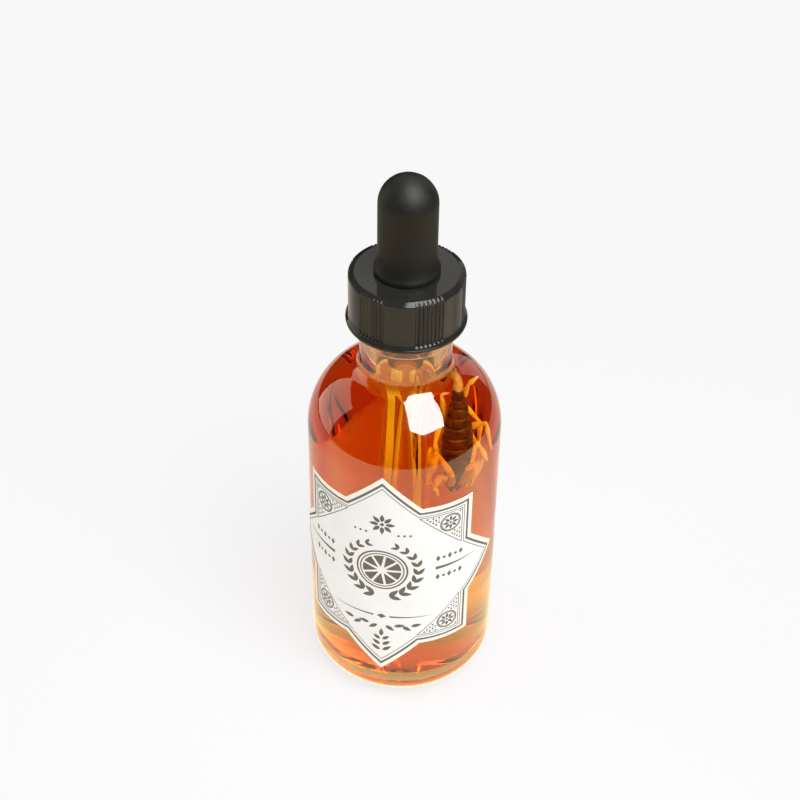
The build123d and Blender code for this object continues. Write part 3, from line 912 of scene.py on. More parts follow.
def make_bitters():
    """The bitters in the bottle, with a curved surface and a hole for the pipette."""
    wall = []
    for radius, height in inner_outline(surface_edge_height):
        lift = film_gap if height < floor_edge_height + floor_film_reach else 0.0
        wall.append((max(0.0, radius - film_gap), height + lift))
    wall[0] = (0.0, wall[0][1] + film_gap)
    wall_side = wall[-1][0]
    hole_radius = pipette_radius + film_gap
    middle_radius = (hole_radius + mouth_radius) / 2
    surface = []
    for step in range(curve_steps + 1):
        radius = wall_side + (hole_radius - wall_side) * (step / curve_steps)
        reach = (radius - middle_radius) / (middle_radius - hole_radius)
        surface.append((radius, surface_edge_height - meniscus_rise * (1 - reach * reach)))
    hole = list(reversed(pipette_outer(film_gap)))
    hole_side = line((hole_radius, surface_edge_height), hole[0], long_step)
    outline = joined(wall, surface, hole_side, hole, [(0.0, pipette_low.z - film_gap)])
    wall_count = len(wall)
    inside_moved = uneven_inside()

    def shape(place, turn, radius, height):
        return inside_moved(turn, radius, height) if place < wall_count else (radius, height)

    piece = turned_mesh("bitters_body", outline, bitters_segments, shape=shape)
    dress(piece, "bottle", "bitters", [liquid], "bitters")


def make_column():
    """The short column of bitters in the pipette's tip."""
    side = pipette_bore(column_top_height, film_gap)
    top = [
        (side[-1][0] * share, column_top_height - meniscus_rise * (1 - share * share))
        for share in (0.75, 0.5, 0.25, 0)
    ]
    outline = joined([(0.0, side[0][1])], side, top)
    piece = turned_mesh("bitters_column", outline, column_segments)
    dress(piece, "dropper", "bitters", [liquid], "bitters_in_pipette")


def groove_share(turn):
    """How deep in a rib's groove an angle lies, from 0 on a smooth panel to 1 at a groove's middle."""
    degrees = math.degrees(turn)
    panel_span = 360 / rib_panels
    offset = (degrees - first_panel_degrees + panel_span / 2) % panel_span - panel_span / 2
    half_row = (grooves_per_panel - 1) / 2
    nearest = round(offset / groove_spacing_degrees)
    if abs(nearest) > half_row:
        return 0.0
    across = math.radians(offset - nearest * groove_spacing_degrees) * cap_radius
    share = 1 - (across / groove_half_width) ** 2
    return math.sqrt(share) if share > 0 else 0.0


def make_cap():
    """The screw cap: ribbed and smooth panels, a bevelled top, a flared foot and an inner thread."""
    base, top = cap_low.z, cap_high.z
    rounding = cap_edge_round
    foot_side = cap_high.x - rounding
    foot_top = base + cap_bead_thickness
    flare_top = base + cap_flare_height
    knee = (cap_radius + cap_knee_out, foot_top + (flare_top - foot_top) * cap_knee_share)
    bevel_base = top - cap_bevel_height
    bevel_inner = cap_radius - cap_bevel_width
    hole_side = cap_hole_radius + rounding
    plate_base = top - cap_plate_thickness
    inner_root = thread_root_radius + thread_crest_clearance + thread_depth
    outside = joined(
        [(inner_root + cap_mouth_bevel, base)],
        arc(foot_side, base + rounding, rounding, -90, 0, steps=4),
        arc(foot_side, foot_top - rounding, rounding, 0, cap_foot_end_degrees, steps=3),
        line((foot_side, foot_top), knee, flare_step),
        line(knee, (cap_radius, flare_top), flare_step),
        line((cap_radius, flare_top), (cap_radius, bevel_base - rounding), rib_step),
        [(cap_radius - rounding * cap_corner_share, bevel_base)],
        line(
            (cap_radius - rounding, bevel_base + rounding / 2),
            (bevel_inner + rounding, top - rounding * cap_corner_share),
            bevel_step,
        ),
        [(bevel_inner, top)],
        line((bevel_inner - rounding, top), (hole_side, top), short_step),
        arc(hole_side, top - rounding, rounding, 90, 180, steps=4),
    )
    inside = joined(
        [(cap_hole_radius, plate_base)],
        line((hole_side, plate_base), (inner_root - rounding, plate_base), middle_step),
        line((inner_root, plate_base - rounding), (inner_root, base + cap_mouth_bevel), thread_step),
    )
    outer_count = len(outside)
    groove_base = base + cap_flare_height / 2
    groove_top = bevel_base - rounding * 2

    def shape(place, turn, radius, height):
        if place >= outer_count:
            if abs(radius - inner_root) < hair:
                radius -= thread_rise(turn, height, cap_thread_turns, cap_thread_degrees)
            return radius, height
        if radius < bevel_inner - rounding / 2 or height < groove_base:
            return radius, height
        depth = groove_depth * groove_share(turn) * smooth((height - groove_base) / groove_fade)
        if height > groove_top:
            depth *= (top - height) / (top - groove_top)
        return radius - depth, height

    piece = turned_mesh("cap_moulding", joined(outside, inside), cap_segments, True, shape)
    dress(piece, "cap", "black_cap", [cap_black], "screw_cap")


def make_bulb():
    """The rubber bulb: a flange on the rim, a waist in the cap, a flared foot and a dome."""
    flange_base = bulb_low.z
    flange_top = flange_base + bulb_flange_thickness
    foot_base = cap_high.z + running_gap
    lip_top = foot_base + bulb_foot_lip
    flare_top = lip_top + bulb_foot_flare
    dome_base = bulb_high.z - bulb_radius
    cavity = bulb_radius - bulb_wall
    head_base = pipette_high.z - pipette_head_height
    head_side = pipette_head_radius
    rounding = bulb_foot_round
    flange_side = bulb_flange_radius - rounding
    flare = []
    for step in range(curve_steps + 1):
        share = step / curve_steps
        radius = bulb_radius + (bulb_foot_radius - bulb_radius) * (1 - share) ** bulb_flare_power
        flare.append((radius, lip_top + (flare_top - lip_top) * share))
    outside = joined(
        [(pipette_radius, flange_base)],
        arc(flange_side, flange_base + rounding, rounding, -90, 0, steps=4),
        arc(flange_side, flange_top - rounding, rounding, 0, 90, steps=4),
        [(bulb_waist_radius, flange_top), (bulb_waist_radius, foot_base)],
        arc(bulb_foot_radius - rounding, foot_base + rounding, rounding, -90, 0, steps=6),
        flare,
        line((bulb_radius, flare_top), (bulb_radius, dome_base), short_step),
        arc(0, dome_base, bulb_radius, 0, 90, steps=30),
        [(0.0, bulb_high.z)],
    )
    inside = joined(
        arc(0, dome_base, cavity, 90, 0, steps=16),
        line((cavity, dome_base), (cavity, pipette_high.z), cavity_step),
        [(head_side, pipette_high.z), (head_side, head_base), (pipette_radius, head_base)],
    )
    rise = wave(bulb_seed, bulb_wave, bulb_high.z)

    def shape(place, turn, radius, height):
        if height < flare_top:
            return radius, height
        return radius - abs(rise(turn, height)) * smooth((height - flare_top) / bulb_wave_fade), height

    piece = turned_mesh("bulb_rubber_shell", outside + inside, bulb_segments, True, shape)
    dress(piece, "dropper", "black_rubber", [rubber_black], "rubber_bulb")


def star(side):
    """The outline of two crossed squares, one upright and one on its point, in (along, up) millimetres."""
    tip = side / math.sqrt(2)
    notch = side / 2 / math.cos(math.radians(22.5))
    points = []
    for corner in range(8):
        turn = math.radians(90 + 45 * corner)
        points.append(polar(0, 0, tip, turn))
        points.append(polar(0, 0, notch, turn + math.radians(22.5)))
    return points


def notched(width, height, notch):
    """The outline of an upright rectangle with a square notch at each corner."""
    x, y = width / 2, height / 2
    corner = [(x, y - notch), (x - notch, y - notch), (x - notch, y)]
    outline = []
    for side_x, side_y in ((1, 1), (-1, 1), (-1, -1), (1, -1)):
        points = [(side_x * across, side_y * up) for across, up in corner]
        outline += points if side_x == side_y else reversed(points)
    return outline


def front_edge(inset=0.0):
    """The front label's outline, made smaller by an inset."""
    return star(star_side - inset)


def back_edge(inset=0.0):
    """The back label's outline, made smaller by an inset."""
    return notched(back_label_width - inset, back_label_height - inset, back_label_notch)


def flat_shapes(shapes, bands):
    """Flat faces that look up, cut across at every bend step. A band is a frame between two outlines."""
    mesh_work = bmesh.new()
    for outline in shapes:
        mesh_work.faces.new([mesh_work.verts.new((x, y, 0)) for x, y in outline])
    for outer, inner in bands:
        rings = [[mesh_work.verts.new((x, y, 0)) for x, y in outline] for outline in (outer, inner)]
        for place in range(len(outer)):
            after = (place + 1) % len(outer)
            mesh_work.faces.new([rings[0][place], rings[0][after], rings[1][after], rings[1][place]])
    reach = max(abs(vertex.co.x) for vertex in mesh_work.verts)
    cuts = int(reach / bend_step)
    for cut in range(-cuts, cuts + 1):
        everything = mesh_work.verts[:] + mesh_work.edges[:] + mesh_work.faces[:]
        place = (cut * bend_step, 0, 0)
        bmesh.ops.bisect_plane(mesh_work, geom=everything, plane_co=place, plane_no=(1, 0, 0), dist=hair)
    bmesh.ops.recalc_face_normals(mesh_work, faces=mesh_work.faces)
    for face in mesh_work.faces:
        if face.normal.z < 0:
            face.normal_flip()
    return mesh_work


def wrapped(name, shapes, middle_degrees, inner_radius, outer_radius, bands=()):
    """Flat shapes wrapped round the body as thin closed sheets."""
    mesh_work = flat_shapes(shapes, bands)
    front = mesh_work.faces[:]
    copied = bmesh.ops.duplicate(mesh_work, geom=mesh_work.verts[:] + mesh_work.edges[:] + front)
    back = [item for item in copied["geom"] if isinstance(item, bmesh.types.BMFace)]
    twin = copied["vert_map"]
    rim = [edge for face in front for edge in face.edges if len(edge.link_faces) == 1]
    for edge in rim:
        loop = edge.link_loops[0]
        first, second = loop.vert, loop.link_loop_next.vert
        mesh_work.faces.new([second, first, twin[first], twin[second]])
    back_verts = {vertex for face in back for vertex in face.verts}
    for face in back:
        face.normal_flip()
    for vertex in mesh_work.verts:
        radius = inner_radius if vertex in back_verts else outer_radius
        turn = math.radians(middle_degrees) + vertex.co.x / body_radius
        height = label_centre_height + vertex.co.y
        vertex.co = Vector((*polar(0, 0, radius, turn), height)) * MM
    for face in mesh_work.faces:
        face.smooth = True
    return finished(name, mesh_work)


def circle(x, y, radius, sides):
    """A round outline."""
    return [polar(x, y, radius, math.tau * side / sides) for side in range(sides)]


def leaf(x, y, length, width, degrees):
    """A pointed leaf that starts at a place and grows in a direction."""
    turn = math.radians(degrees)
    along, across = (math.cos(turn), math.sin(turn)), (-math.sin(turn), math.cos(turn))
    power = math.log(0.5) / math.log(leaf_belly_share)
    outline = []
    for side in (1, -1):
        for step in range(leaf_steps):
            share = step / leaf_steps if side == 1 else 1 - step / leaf_steps
            out = side * width / 2 * math.sin(math.pi * share**power)
            outline.append(
                tuple(
                    start + way * length * share + aside * out
                    for start, way, aside in zip((x, y), along, across)
                )
            )
    return outline


def lozenge(x, y, width, height):
    """A small upright diamond."""
    return [(x - width / 2, y), (x, y - height / 2), (x + width / 2, y), (x, y + height / 2)]


def mirrored(side, degrees):
    """A heading as it is on the right, side 1, or its mirror image on the left, side -1."""
    return degrees if side == 1 else 180 - degrees


def citrus_wheel(y, radius):
    """A slice of citrus: its segments as shapes, and a rind of two rings as bands."""
    shapes = []
    for part in range(wheel_parts):
        low = 360 / wheel_parts * part + wheel_gap_degrees / 2
        high = 360 / wheel_parts * (part + 1) - wheel_gap_degrees / 2
        middle = math.radians((low + high) / 2)
        tip, flesh = radius * wheel_tip_share, radius * wheel_flesh_share
        rim = arc(0, y, flesh, low, high, steps=5)
        shapes.append([polar(0, y, tip, middle)] + rim)
    bands = []
    for shares in wheel_ring_shares:
        bands.append(tuple(circle(0, y, radius * share, wheel_sides) for share in shares))
    return shapes, bands


def anise(x, y, radius):
    """A star of pointed petals round a dot."""
    shapes = [circle(x, y, radius * anise_dot_share, sides=12)]
    start = radius * anise_start_share
    length, width = (radius * share for share in anise_petal_shares)
    for petal in range(anise_petals):
        degrees = 360 / anise_petals * petal + 90
        root = polar(x, y, start, math.radians(degrees))
        shapes.append(leaf(*root, length, width, degrees))
    return shapes


def wreath_half(side):
    """Pairs of leaves along one half of the wreath."""
    shapes = []
    start, end = wreath_degrees
    for place in range(wreath_leaves):
        share = place / (wreath_leaves - 1)
        degrees = start + (end - start) * share
        x, y = polar(0, wreath_height, wreath_radius, math.radians(degrees))
        length = wreath_leaf_length * (1 - wreath_shrink * share)
        for lean in (wreath_lean_degrees, -wreath_lean_degrees):
            heading = mirrored(side, degrees + 90 + lean)
            shapes.append(leaf(side * x, y, length, length * wreath_leaf_width_share, heading))
    return shapes


def corner_ornament(side_x, side_y):
    """A lattice of small diamonds round a rosette, in one corner of the upright square."""
    corner = star_side / 2 - ornament_inset
    middle = corner - ornament_reach * (1 - math.sqrt(0.5))
    shapes = anise(side_x * middle, side_y * middle, rosette_radius * rosette_anise_share)
    bands = []
    for share, thickness in rosette_rings:
        radius = rosette_radius * share
        sizes = (radius, radius - thickness)
        bands.append(tuple(circle(side_x * middle, side_y * middle, size, rosette_sides) for size in sizes))
    steps = int(ornament_reach / lattice_step)
    start = corner - lattice_inset
    for across in range(steps + 1):
        for up in range(steps + 1):
            x, y = start - across * lattice_step, start - up * lattice_step
            outside = 2 * corner - ornament_reach - x - y > -lattice_edge_gap
            if outside or math.hypot(x - middle, y - middle) < rosette_radius + rosette_gap:
                continue
            size = lattice_step * lattice_shares[(across + up) % 2]
            shapes.append(lozenge(side_x * x, side_y * y, size, size))
    edges = []
    for thickness in (0.0, ornament_line):
        legs = corner - thickness
        rest = corner - ornament_reach + thickness * (1 + math.sqrt(2))
        edges.append([(side_x * x, side_y * y) for x, y in ((legs, legs), (rest, legs), (legs, rest))])
    bands.append(tuple(edges))
    return shapes, bands


def bead_row(y, start, end, step, size):
    """A row of small diamonds by turns with dots, mirrored left and right."""
    shapes = []
    width, height = (size * share for share in bead_lozenge_shares)
    for place in range(int((end - start) / step) + 1):
        x = start + place * step
        for side in (1, -1):
            if place % 2:
                shapes.append(circle(side * x, y, size * bead_dot_share, sides=8))
            else:
                shapes.append(lozenge(side * x, y, width, height))
    return shapes


def taper_rule(y, start, end, thickness):
    """A rule that narrows outwards, left and right of the middle."""
    half = thickness / 2
    return [[(side * start, y - half), (side * start, y + half), (side * end, y)] for side in (1, -1)]


def border(edge):
    """A thick and a thin line inside a label's margin."""
    thick_inset = 2 * border_margin
    thin_inset = thick_inset + 2 * (border_thickness + thin_line_gap)
    lines = ((thick_inset, border_thickness), (thin_inset, thin_line_thickness))
    return [(edge(inset), edge(inset + 2 * thickness)) for inset, thickness in lines]


def front_print():
    """The front label's design: a citrus wheel in a wreath, beaded rows, rules and corner lattices."""
    shapes, bands = citrus_wheel(wreath_height, wheel_radius)
    for side in (1, -1):
        shapes += wreath_half(side)
    shapes += anise(0, anise_height, anise_radius)
    shapes += [circle(side * x, dot_height, dot_radius, sides=10) for side in (1, -1) for x in dot_places]
    for rise in (beads_off_wreath, -beads_off_wreath):
        shapes += bead_row(wreath_height + rise, *side_beads)
    shapes += taper_rule(wreath_height, *side_rule)
    shapes += taper_rule(low_rule_height, *low_rule)
    shapes.append(lozenge(0, low_rule_height, *low_lozenge))
    for side in (1, -1):
        for place in range(garland_leaves):
            x = side * (garland_start + place * garland_step)
            heading = mirrored(side, garland_degrees[place % 2])
            shapes.append(leaf(x, garland_height, *garland_leaf, heading))
    for side in (1, -1):
        for place in range(sprig_pairs):
            y = sprig_height + place * sprig_step
            length = sprig_leaf_length - sprig_leaf_shrink * place
            shapes.append(leaf(side * sprig_out, y, length, sprig_leaf_width, 90 - side * sprig_lean_degrees))
    shapes.append(leaf(0, sprig_top_height, sprig_top_length, sprig_leaf_width, 90))
    for side_x in (1, -1):
        for side_y in (1, -1):
            corner_shapes, corner_bands = corner_ornament(side_x, side_y)
            shapes += corner_shapes
            bands += corner_bands
    return shapes, bands + border(front_edge)


def back_print():
    """The back label's design: a double border, a citrus wheel with leaves, rules, beads and a star."""
    shapes, bands = citrus_wheel(back_wheel_height, back_wheel_radius)
    for side in (1, -1):
        for place, degrees in enumerate(back_leaf_degrees):
            y = back_wheel_height - back_leaf_step * (place - 1)
            shapes.append(leaf(side * back_leaf_out, y, *back_leaf, mirrored(side, degrees)))
    for row in range(back_rows):
        y = back_row_height - row * back_row_step
        shapes += taper_rule(y, back_rule_start * (row % 2), *back_rule)
        if row % 2:
            shapes.append(lozenge(0, y, *back_lozenge))
    shapes += bead_row(back_bead_height, *back_beads)
    shapes += anise(0, back_anise_height, back_anise_radius)
    return shapes, bands + border(back_edge)


label_designs = (
    ("front_label", front_edge, front_print, front_degrees),
    ("back_label", back_edge, back_print, back_degrees),
)


def make_labels():
    """The two paper labels, each with a printed white field inside its cream margin."""
    inner = body_radius + label_gap
    paper_face = label_radius - 2 * ink_thickness
    field_face = label_radius - ink_thickness
    for node, edge, _, degrees in label_designs:
        sheet = wrapped(node + "_paper", [edge()], degrees, inner, paper_face)
        dress(sheet, "bottle", "label_paper", [paper], node)
        field = [edge(2 * border_margin)]
        printed = wrapped(node + "_field", field, degrees, paper_face - ink_thickness, field_face)
        dress(printed, "bottle", "label_paper", [paper_field])


def make_print():
    """The printing on both labels."""
    inner = label_radius - ink_thickness * print_root_share
    for node, _, design, degrees in label_designs:
        shapes, bands = design()
        sheet = wrapped(node + "_print", shapes, degrees, inner, label_radius, bands)
        dress(sheet, "bottle", "label_paper", [ink])


def scorpion_place():
    """Where the scorpion hangs: head down between the pipette and the right-hand wall."""
    room = body_radius - body_wall - pipette_radius
    length = scorpion_room_share * room
    crown = shoulder_start_height + scorpion_crown_rise
    x = pipette_radius + scorpion_place_share * room
    place = Vector((x, scorpion_y, crown - scorpion_crown_share * length))
    lean = Matrix.Rotation(math.radians(scorpion_lean_degrees), 4, "Y")
    turn = Matrix.Rotation(math.radians(scorpion_turn_degrees), 4, "Z")
    return Matrix.Translation(place * MM) @ lean @ turn @ Matrix.Scale(length * MM, 4)


def smooth_path(points, steps):
    """A curve through given points: places with a radius as their last number."""
    ended = [points[0]] + list(points) + [points[-1]]
    path = []
    for place in range(1, len(ended) - 2):
        for step in range(steps):
            share = step / steps
            spot = []
            for a, b, c, d in zip(*ended[place - 1 : place + 3]):
                slope, bend, twist = c - a, 2 * a - 5 * b + 4 * c - d, 3 * b - a - 3 * c + d
                spot.append(0.5 * (2 * b + slope * share + bend * share**2 + twist * share**3))
            path.append(spot)
    path.append(list(points[-1]))
    return path


def halfway(first, second):
    """The place midway between two."""
    return [(a + b) / 2 for a, b in zip(first, second)]


def tube(work, path, sides, flatness=1.0):
    """A closed round or oval tube along a path of (x, y, z, radius)."""
    rings = []
    for place, (x, y, z, radius) in enumerate(path):
        before, after = path[max(0, place - 1)], path[min(len(path) - 1, place + 1)]
        along = Vector(after[:3]) - Vector(before[:3])
        along.normalize()
        across = Vector((1, 0, 0)) - along * along.x
        if across.length < level_way_limit:
            across = Vector((0, 1, 0)) - along * along.y
        across.normalize()
        other = along.cross(across)
        ring = []
        for side in range(sides):
            turn = math.tau * side / sides
            out = across * math.cos(turn) + other * math.sin(turn) * flatness
            ring.append(work.verts.new(Vector((x, y, z)) + out * radius))
        rings.append(ring)
    for low, high in zip(rings, rings[1:]):
        for side in range(sides):
            after = (side + 1) % sides
            work.faces.new([low[side], low[after], high[after], high[side]])
    work.faces.new(list(reversed(rings[0])))
    work.faces.new(rings[-1])


def jointed(work, points, first_radius, last_radius, swell, pinch):
    """A limb of separate segments: each swells past its root and narrows at its joint."""
    count = len(points) - 1
    profile = ((0.0, pinch), (0.06, 1.0), (0.3, swell), (0.7, 1.0), (0.93, pinch * 1.1), (1.0, pinch))

    def radius_at(whole):
        return first_radius + (last_radius - first_radius) * whole

    for place in range(count):
        start, end = Vector(points[place]), Vector(points[place + 1])
        path = []
        for share, factor in profile:
            path.append((*start.lerp(end, share), radius_at((place + share) / count) * factor))
        tube(work, path, sides=12)
        ball(work, end, radius_at((place + 1) / count) * pinch * joint_share)


def ball(work, middle, radius):
    """A small round joint, eye or knob."""
    place = Matrix.Translation(Vector(middle))
    bmesh.ops.create_uvsphere(work, u_segments=12, v_segments=8, radius=radius, matrix=place)


def scorpion_piece(name, node, material, build):
    """One of the scorpion's pieces, made in its own frame and set in its place."""
    work = bmesh.new()
    build(work)
    bmesh.ops.recalc_face_normals(work, faces=work.faces)
    work.transform(scorpion_place())
    for face in work.faces:
        face.smooth = True
    piece = finished(name, work, sharp_degrees=50.0)
    slot = "scorpion_body" if material is shell_dark else "scorpion_limbs"
    dress(piece, "bottle", slot, [material], node)


def build_carapace(work):
    """The head shield: a smooth oval shell with a raised brow, two middle eyes and jaws."""
    gaps = len(carapace_width_shares) - 1
    points = [(0, 0, -brow_share, carapace_width_shares[0] * brow_width_share)]
    for place, width in enumerate(carapace_width_shares):
        points.append((0, 0, carapace_length_share * place / gaps, width))
    tube(work, smooth_path(points, steps=5), body_sides, body_flatness_share)
    eye_depth = carapace_width_shares[1] * body_flatness_share * eye_depth_share
    for side in (1, -1):
        ball(work, (side * eye_out_share, eye_depth, eye_height_share), eye_radius_share)
        jaw = [(side * out, *rest) for out, *rest in jaw_shares]
        tube(work, smooth_path(jaw, steps=4), sides=10)


def build_abdomen(work):
    """Seven back plates, each lapping over the next, with a short ridge on each."""
    plate_length = (1 - carapace_length_share) / len(abdomen_width_shares)
    path = []
    for place, width in enumerate(abdomen_width_shares):
        start = carapace_length_share + place * plate_length
        path += [(0, 0, start + share * plate_length, width * factor) for share, factor in plate_profile]
    tube(work, path, body_sides, body_flatness_share)
    for place, width in enumerate(abdomen_width_shares):
        middle = carapace_length_share + (place + 0.5) * plate_length
        depth = width * body_flatness_share
        ridge = [(0, depth * out, middle + plate_length * up, radius) for up, out, radius in ridge_profile]
        tube(work, smooth_path(ridge, steps=3), sides=8)


def build_tail(work):
    """Five segments that curl over the back."""
    last_radius = tail_radius_share * tail_taper_share
    jointed(work, tail_shares, tail_radius_share, last_radius, swell=1.02, pinch=0.74)


def build_sting(work):
    """A round bulb that draws out into a curved thorn."""
    neck, bend, end = sting_shares
    places = (neck, halfway(neck, bend), bend, halfway(bend, end), end)
    points = [(*place, sting_radius_share * share) for place, share in zip(places, sting_profile)]
    tube(work, smooth_path(points, steps=6), sides=14)


def pincer_builder(side):
    """Builds one side's pincer: arm, swollen hand and two curved fingers."""
    arm_radius = pincer_arm_radius_share
    finger_radius = pincer_finger_radius_share
    point_radius = leg_tip_radius_share * pincer_point_share
    radii = (finger_radius * pincer_root_share, finger_radius, point_radius)

    def build(work):
        jointed(work, pincer_arm_shares[side], arm_radius, arm_radius, swell=1.15, pinch=0.8)
        wrist, knuckles = pincer_hand_shares[side]
        hand = [
            (*wrist, arm_radius * pincer_wrist_share),
            (*halfway(wrist, knuckles), pincer_hand_radius_share),
            (*knuckles, arm_radius),
        ]
        tube(work, smooth_path(hand, steps=7), sides=16)
        for finger in pincer_finger_shares[side]:
            points = [(*point, radius) for point, radius in zip(finger, radii)]
            tube(work, smooth_path(points, steps=6), sides=10)

    return build


def legs_builder(side):
    """Builds one side's four jointed legs, each with a small claw."""
    root_radius = leg_radius_share * leg_root_share
    end_radius = leg_tip_radius_share * leg_end_share
    claw_root, claw_point = leg_tip_radius_share * claw_root_share, leg_tip_radius_share * claw_point_share

    def build(work):
        for points in leg_shares[side]:
            jointed(work, points, root_radius, end_radius, swell=1.5, pinch=0.75)
            before, end = Vector(points[-2]), Vector(points[-1])
            along = (end - before).normalized() * leg_radius_share
            for lean in (claw_lean, -claw_lean):
                claw = end + along + lean * leg_radius_share
                tube(work, [(*end, claw_root), (*claw, claw_point)], sides=8)

    return build


def make_scorpion():
    """The scorpion's eight pieces."""
    plain = (
        ("carapace", shell_dark, build_carapace),
        ("abdomen", shell_dark, build_abdomen),
        ("tail", shell_brown, build_tail),
        ("sting", shell_dark, build_sting),
    )
    for part, material, build in plain:
        scorpion_piece(part + "_shell", "scorpion_" + part, material, build)
    for side in ("left", "right"):
        scorpion_piece(side + "_pincer_shell", f"scorpion_{side}_pincer", shell_brown, pincer_builder(side))
        scorpion_piece(side + "_legs_shell", f"scorpion_{side}_legs", shell_amber, legs_builder(side))


def light_path(tree, *kinds):
    """1 for a ray of any of these kinds."""
    path = tree.nodes.new("ShaderNodeLightPath")
    total = path.outputs[kinds[0]]
    for kind in kinds[1:]:
        total = worked_out(tree, "MAXIMUM", total, path.outputs[kind])
    return total


def seen_through(tree):
    """1 for what the camera sees through clear things, 0 for the light that reaches matt things in them."""
    path = tree.nodes.new("ShaderNodeLightPath")
    direct = worked_out(tree, "LESS_THAN", path.outputs["Diffuse Depth"], 0.5)
    return worked_out(tree, "MULTIPLY", path.outputs["Is Transmission Ray"], direct)


def floor_measure(tree, operation, way=None):
    """A measure of a point on the floor from the bottle's axis: its distance, or how far along a way."""
    node = tree.nodes.new("ShaderNodeVectorMath")
    node.operation = operation
    feed(tree, node.inputs[0], tree.nodes.new("ShaderNodeTexCoord").outputs["Object"])
    if way:
        feed(tree, node.inputs[1], way)
    return node.outputs["Value"]


def distance_out(tree):
    """How far a point of the floor lies from the bottle's axis."""
    return floor_measure(tree, "LENGTH")


def blend(tree, value, reach, first, second):
    """A colour that goes from one to another as a value crosses a reach."""
    return mixed_colour(tree, ranged(tree, value, reach), first, second)


def painted_light_pool(tree):
    """What shiny things reflect of the sheet: a pool of warm light painted on it before and right of the
    bottle.
    """
    along = floor_measure(tree, "DOT_PRODUCT", pool_way)
    return blend(tree, along, pool_reach, painted_pool_light, plain_sheet)


def clear_view(tree):
    """What clear things show of the sheet: a painted shadow under the bottle, tinted amber, amber again well
    behind it, where the photograph has other bottles, and white between."""
    outwards = blend(tree, distance_out(tree), rear_shade_reach, page_colour, rear_shade)
    return blend(tree, distance_out(tree), bottle_shade_reach, bottle_shade, outwards)


def floor_share(tree):
    """How much of the plain page the camera sees instead of the lit sheet: most of it near the
    bottle, where its shadow shows, and all of it farther out."""
    fade = ranged(tree, distance_out(tree), shadow_reach, page_share, 1.0)
    return worked_out(tree, "MULTIPLY", light_path(tree, "Is Camera Ray", "Is Transmission Ray"), fade)


def layered(tree, kind, shown, layers):
    """A shader under evenly bright layers, each for its own share of the rays."""
    for share, colour, strength in layers:
        layer = add_node(tree, kind, Color=colour, Strength=strength)
        mix = tree.nodes.new("ShaderNodeMixShader")
        for socket, value in zip(mix.inputs, (share, shown, layer.outputs[0])):
            tree.links.new(value, socket)
        shown = mix.outputs[0]
    return shown


def glow(name, colour, strength):
    """An even light-giving material. Its strength is a number, or a function of its node tree."""
    material, tree, shader = new_material(name)
    tree.nodes.remove(shader)
    level = strength(tree) if callable(strength) else strength
    light = add_node(tree, "ShaderNodeEmission", Color=colour, Strength=level)
    set_inputs(tree, tree.nodes["Material Output"], Surface=light.outputs["Emission"])
    return material


def far_level(tree):
    """The wide floor's brightness: the page's to the camera, less through clear things."""
    return ranged(tree, seen_through(tree), (0.0, 1.0), page_white, far_floor_level)


def disc(name, radius, height):
    """A round level sheet of the stage."""
    work = bmesh.new()
    bmesh.ops.create_circle(work, cap_ends=True, segments=96, radius=radius)
    sheet = finished(name, work)
    sheet.location.z = height
    return sheet


def make_floor():
    """A white sheet under the bottle, and a wide white floor that only the camera and clear things see."""
    sheet = disc("white_sheet", sheet_radius, sheet_height)
    material, tree, shader = new_material("sheet_white")
    set_inputs(tree, shader, Base_Color=sheet_colour, Roughness=0.9, Specular_IOR_Level=0.0)
    layers = (
        (floor_share(tree), white, page_white),
        # Reflections see the sheet with a painted pool of warm light
        (light_path(tree, "Is Glossy Ray"), painted_light_pool(tree), 1.0),
        # Views through clear things see a painted amber shadow under the bottle
        (seen_through(tree), clear_view(tree), 1.0),
    )
    shown = layered(tree, "ShaderNodeEmission", shader.outputs["BSDF"], layers)
    set_inputs(tree, tree.nodes["Material Output"], Surface=shown)
    sheet.data.materials.append(material)
    wide = disc("wide_floor", wide_floor_radius, wide_floor_height)
    wide.data.materials.append(glow("page_glow", white, far_level))
    wide.visible_glossy = False
    wide.visible_diffuse = False
    wide.visible_shadow = False


def make_world():
    """A white page to the camera, a page with a dim room above it through clear things, a dark room in
    reflections, a warm light on matt things inside the bottle, and an even grey light for the rest."""
    world = bpy.data.worlds.new("studio")
    bpy.context.scene.world = world
    world.use_nodes = True
    tree = world.node_tree
    ambient = set_inputs(tree, tree.nodes["Background"], Color=white, Strength=ambient_level)
    way = tree.nodes.new("ShaderNodeTexCoord").outputs["Generated"]
    height = add_node(tree, "ShaderNodeSeparateXYZ", Vector=way).outputs["Z"]
    layers = (
        (light_path(tree, "Is Glossy Ray"), white, dark_level),
        (light_path(tree, "Is Transmission Ray"), inside_colour, inside_level),
        (seen_through(tree), room_colour, ranged(tree, height, room_horizon, far_floor_level, room_level)),
        (light_path(tree, "Is Camera Ray"), white, page_white),
    )
    shown = layered(tree, "ShaderNodeBackground", ambient.outputs[0], layers)
    set_inputs(tree, tree.nodes["World Output"], Surface=shown)


def direction_to(azimuth_degrees, elevation_degrees):
    """A unit vector; azimuth 0 is the front, -Y, and 90 is the right, +X."""
    azimuth, elevation = math.radians(azimuth_degrees), math.radians(elevation_degrees)
    level = math.cos(elevation)
    return Vector((math.sin(azimuth) * level, -math.cos(azimuth) * level, math.sin(elevation)))


def facing_shoulder(thing, azimuth, elevation, distance):
    """Puts a lamp or a card at a direction and a distance from the shoulder, and turns it to it."""
    thing.location = lamp_aim + direction_to(azimuth, elevation) * distance
    thing.rotation_mode = "QUATERNION"
    thing.rotation_quaternion = (lamp_aim - thing.location).to_track_quat("-Z", "Y")


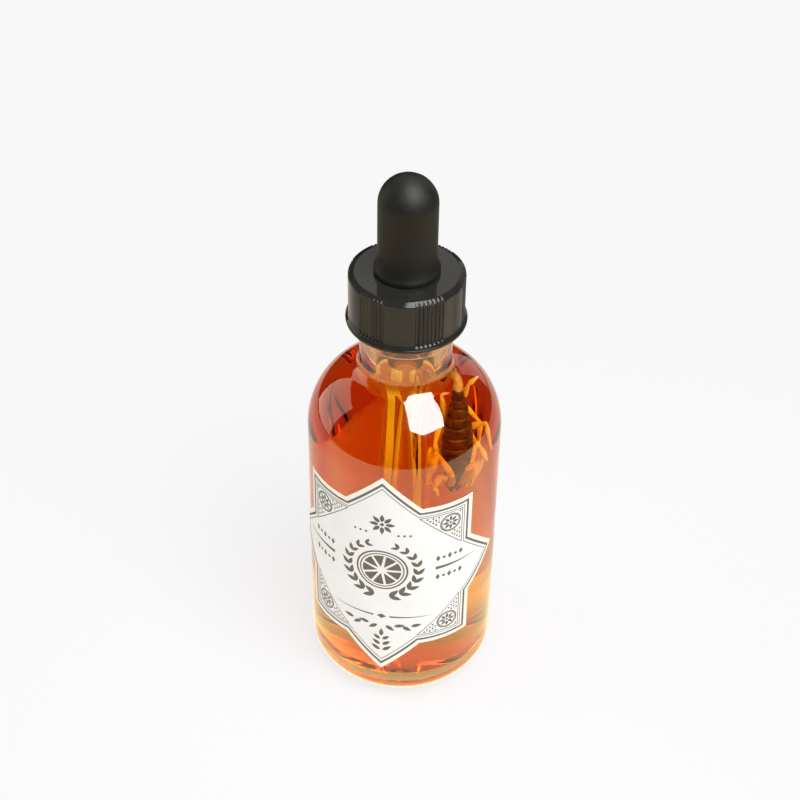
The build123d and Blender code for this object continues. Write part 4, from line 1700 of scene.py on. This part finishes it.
def lamp(name, azimuth, elevation, distance, size, power):
    """A soft lamp that lights matt surfaces. The card near its place is what shiny ones reflect."""
    data = bpy.data.lights.new(name, "AREA")
    data.shape = "RECTANGLE"
    data.size, data.size_y = size
    data.energy = power
    made = linked(name, data)
    facing_shoulder(made, azimuth, elevation, distance)
    made.visible_glossy = False


def card(name, azimuth, elevation, distance, outline, colour, strength=1.0):
    """A bright card of the stage that only shows in reflections."""
    work = bmesh.new()
    work.faces.new([work.verts.new((x, y, 0)) for x, y in outline])
    made = finished(name, work)
    made.data.materials.append(glow(name + "_glow", colour, strength))
    facing_shoulder(made, azimuth, elevation, distance)
    made.visible_camera = False
    made.visible_diffuse = False
    made.visible_transmission = False
    made.visible_shadow = False


def upright(width, height):
    """A rectangle's outline about its middle."""
    x, y = width / 2, height / 2
    return [(-x, -y), (x, -y), (x, y), (-x, y)]


def make_lights():
    """A softbox over the front right and a fill at the left, and cards at the front right, left and back.
    Each has its azimuth and elevation in degrees, its distance and its size."""
    lamp("key_softbox", 48.0, 58.0, 0.55, (0.36, 0.42), key_power)
    lamp("left_fill", -80.0, 15.0, 0.5, (0.3, 0.5), fill_power)
    card("softbox_card", 55.0, 60.0, 0.5, softbox_outline, white, softbox_level)
    card("left_card", -97.0, 12.0, 0.45, upright(0.34, 0.42), left_card_colour)
    card("right_card", 160.0, 12.0, 0.45, upright(0.16, 0.4), pale_card_colour)
    card("back_card", 195.0, 42.0, 0.6, upright(0.5, 0.22), back_card_colour)


def make_camera():
    """The camera in its place, turned by its roll, then its pitch, then its heading."""
    data = bpy.data.cameras.new("camera")
    camera = linked("camera", data)
    data.sensor_width = camera_sensor
    data.lens = camera_lens
    data.clip_start, data.clip_end = camera_clip
    camera.location = camera_place
    turn = (
        Matrix.Rotation(math.radians(camera_heading), 3, "Z")
        @ Matrix.Rotation(math.radians(90 - camera_pitch), 3, "X")
        @ Matrix.Rotation(math.radians(camera_roll), 3, "Z")
    )
    camera.rotation_mode = "QUATERNION"
    camera.rotation_quaternion = turn.to_quaternion()
    bpy.context.scene.camera = camera


make_bottle()
make_pipette()
make_bitters()
make_column()
make_cap()
make_bulb()
make_labels()
make_print()
make_scorpion()
make_floor()
make_world()
make_lights()
make_camera()
bpy.context.scene.view_settings.view_transform = "Standard"
bpy.context.scene.cycles.max_bounces = ray_bounces
bpy.context.scene.cycles.transmission_bounces = ray_bounces
bpy.context.scene.cycles.transparent_max_bounces = ray_bounces
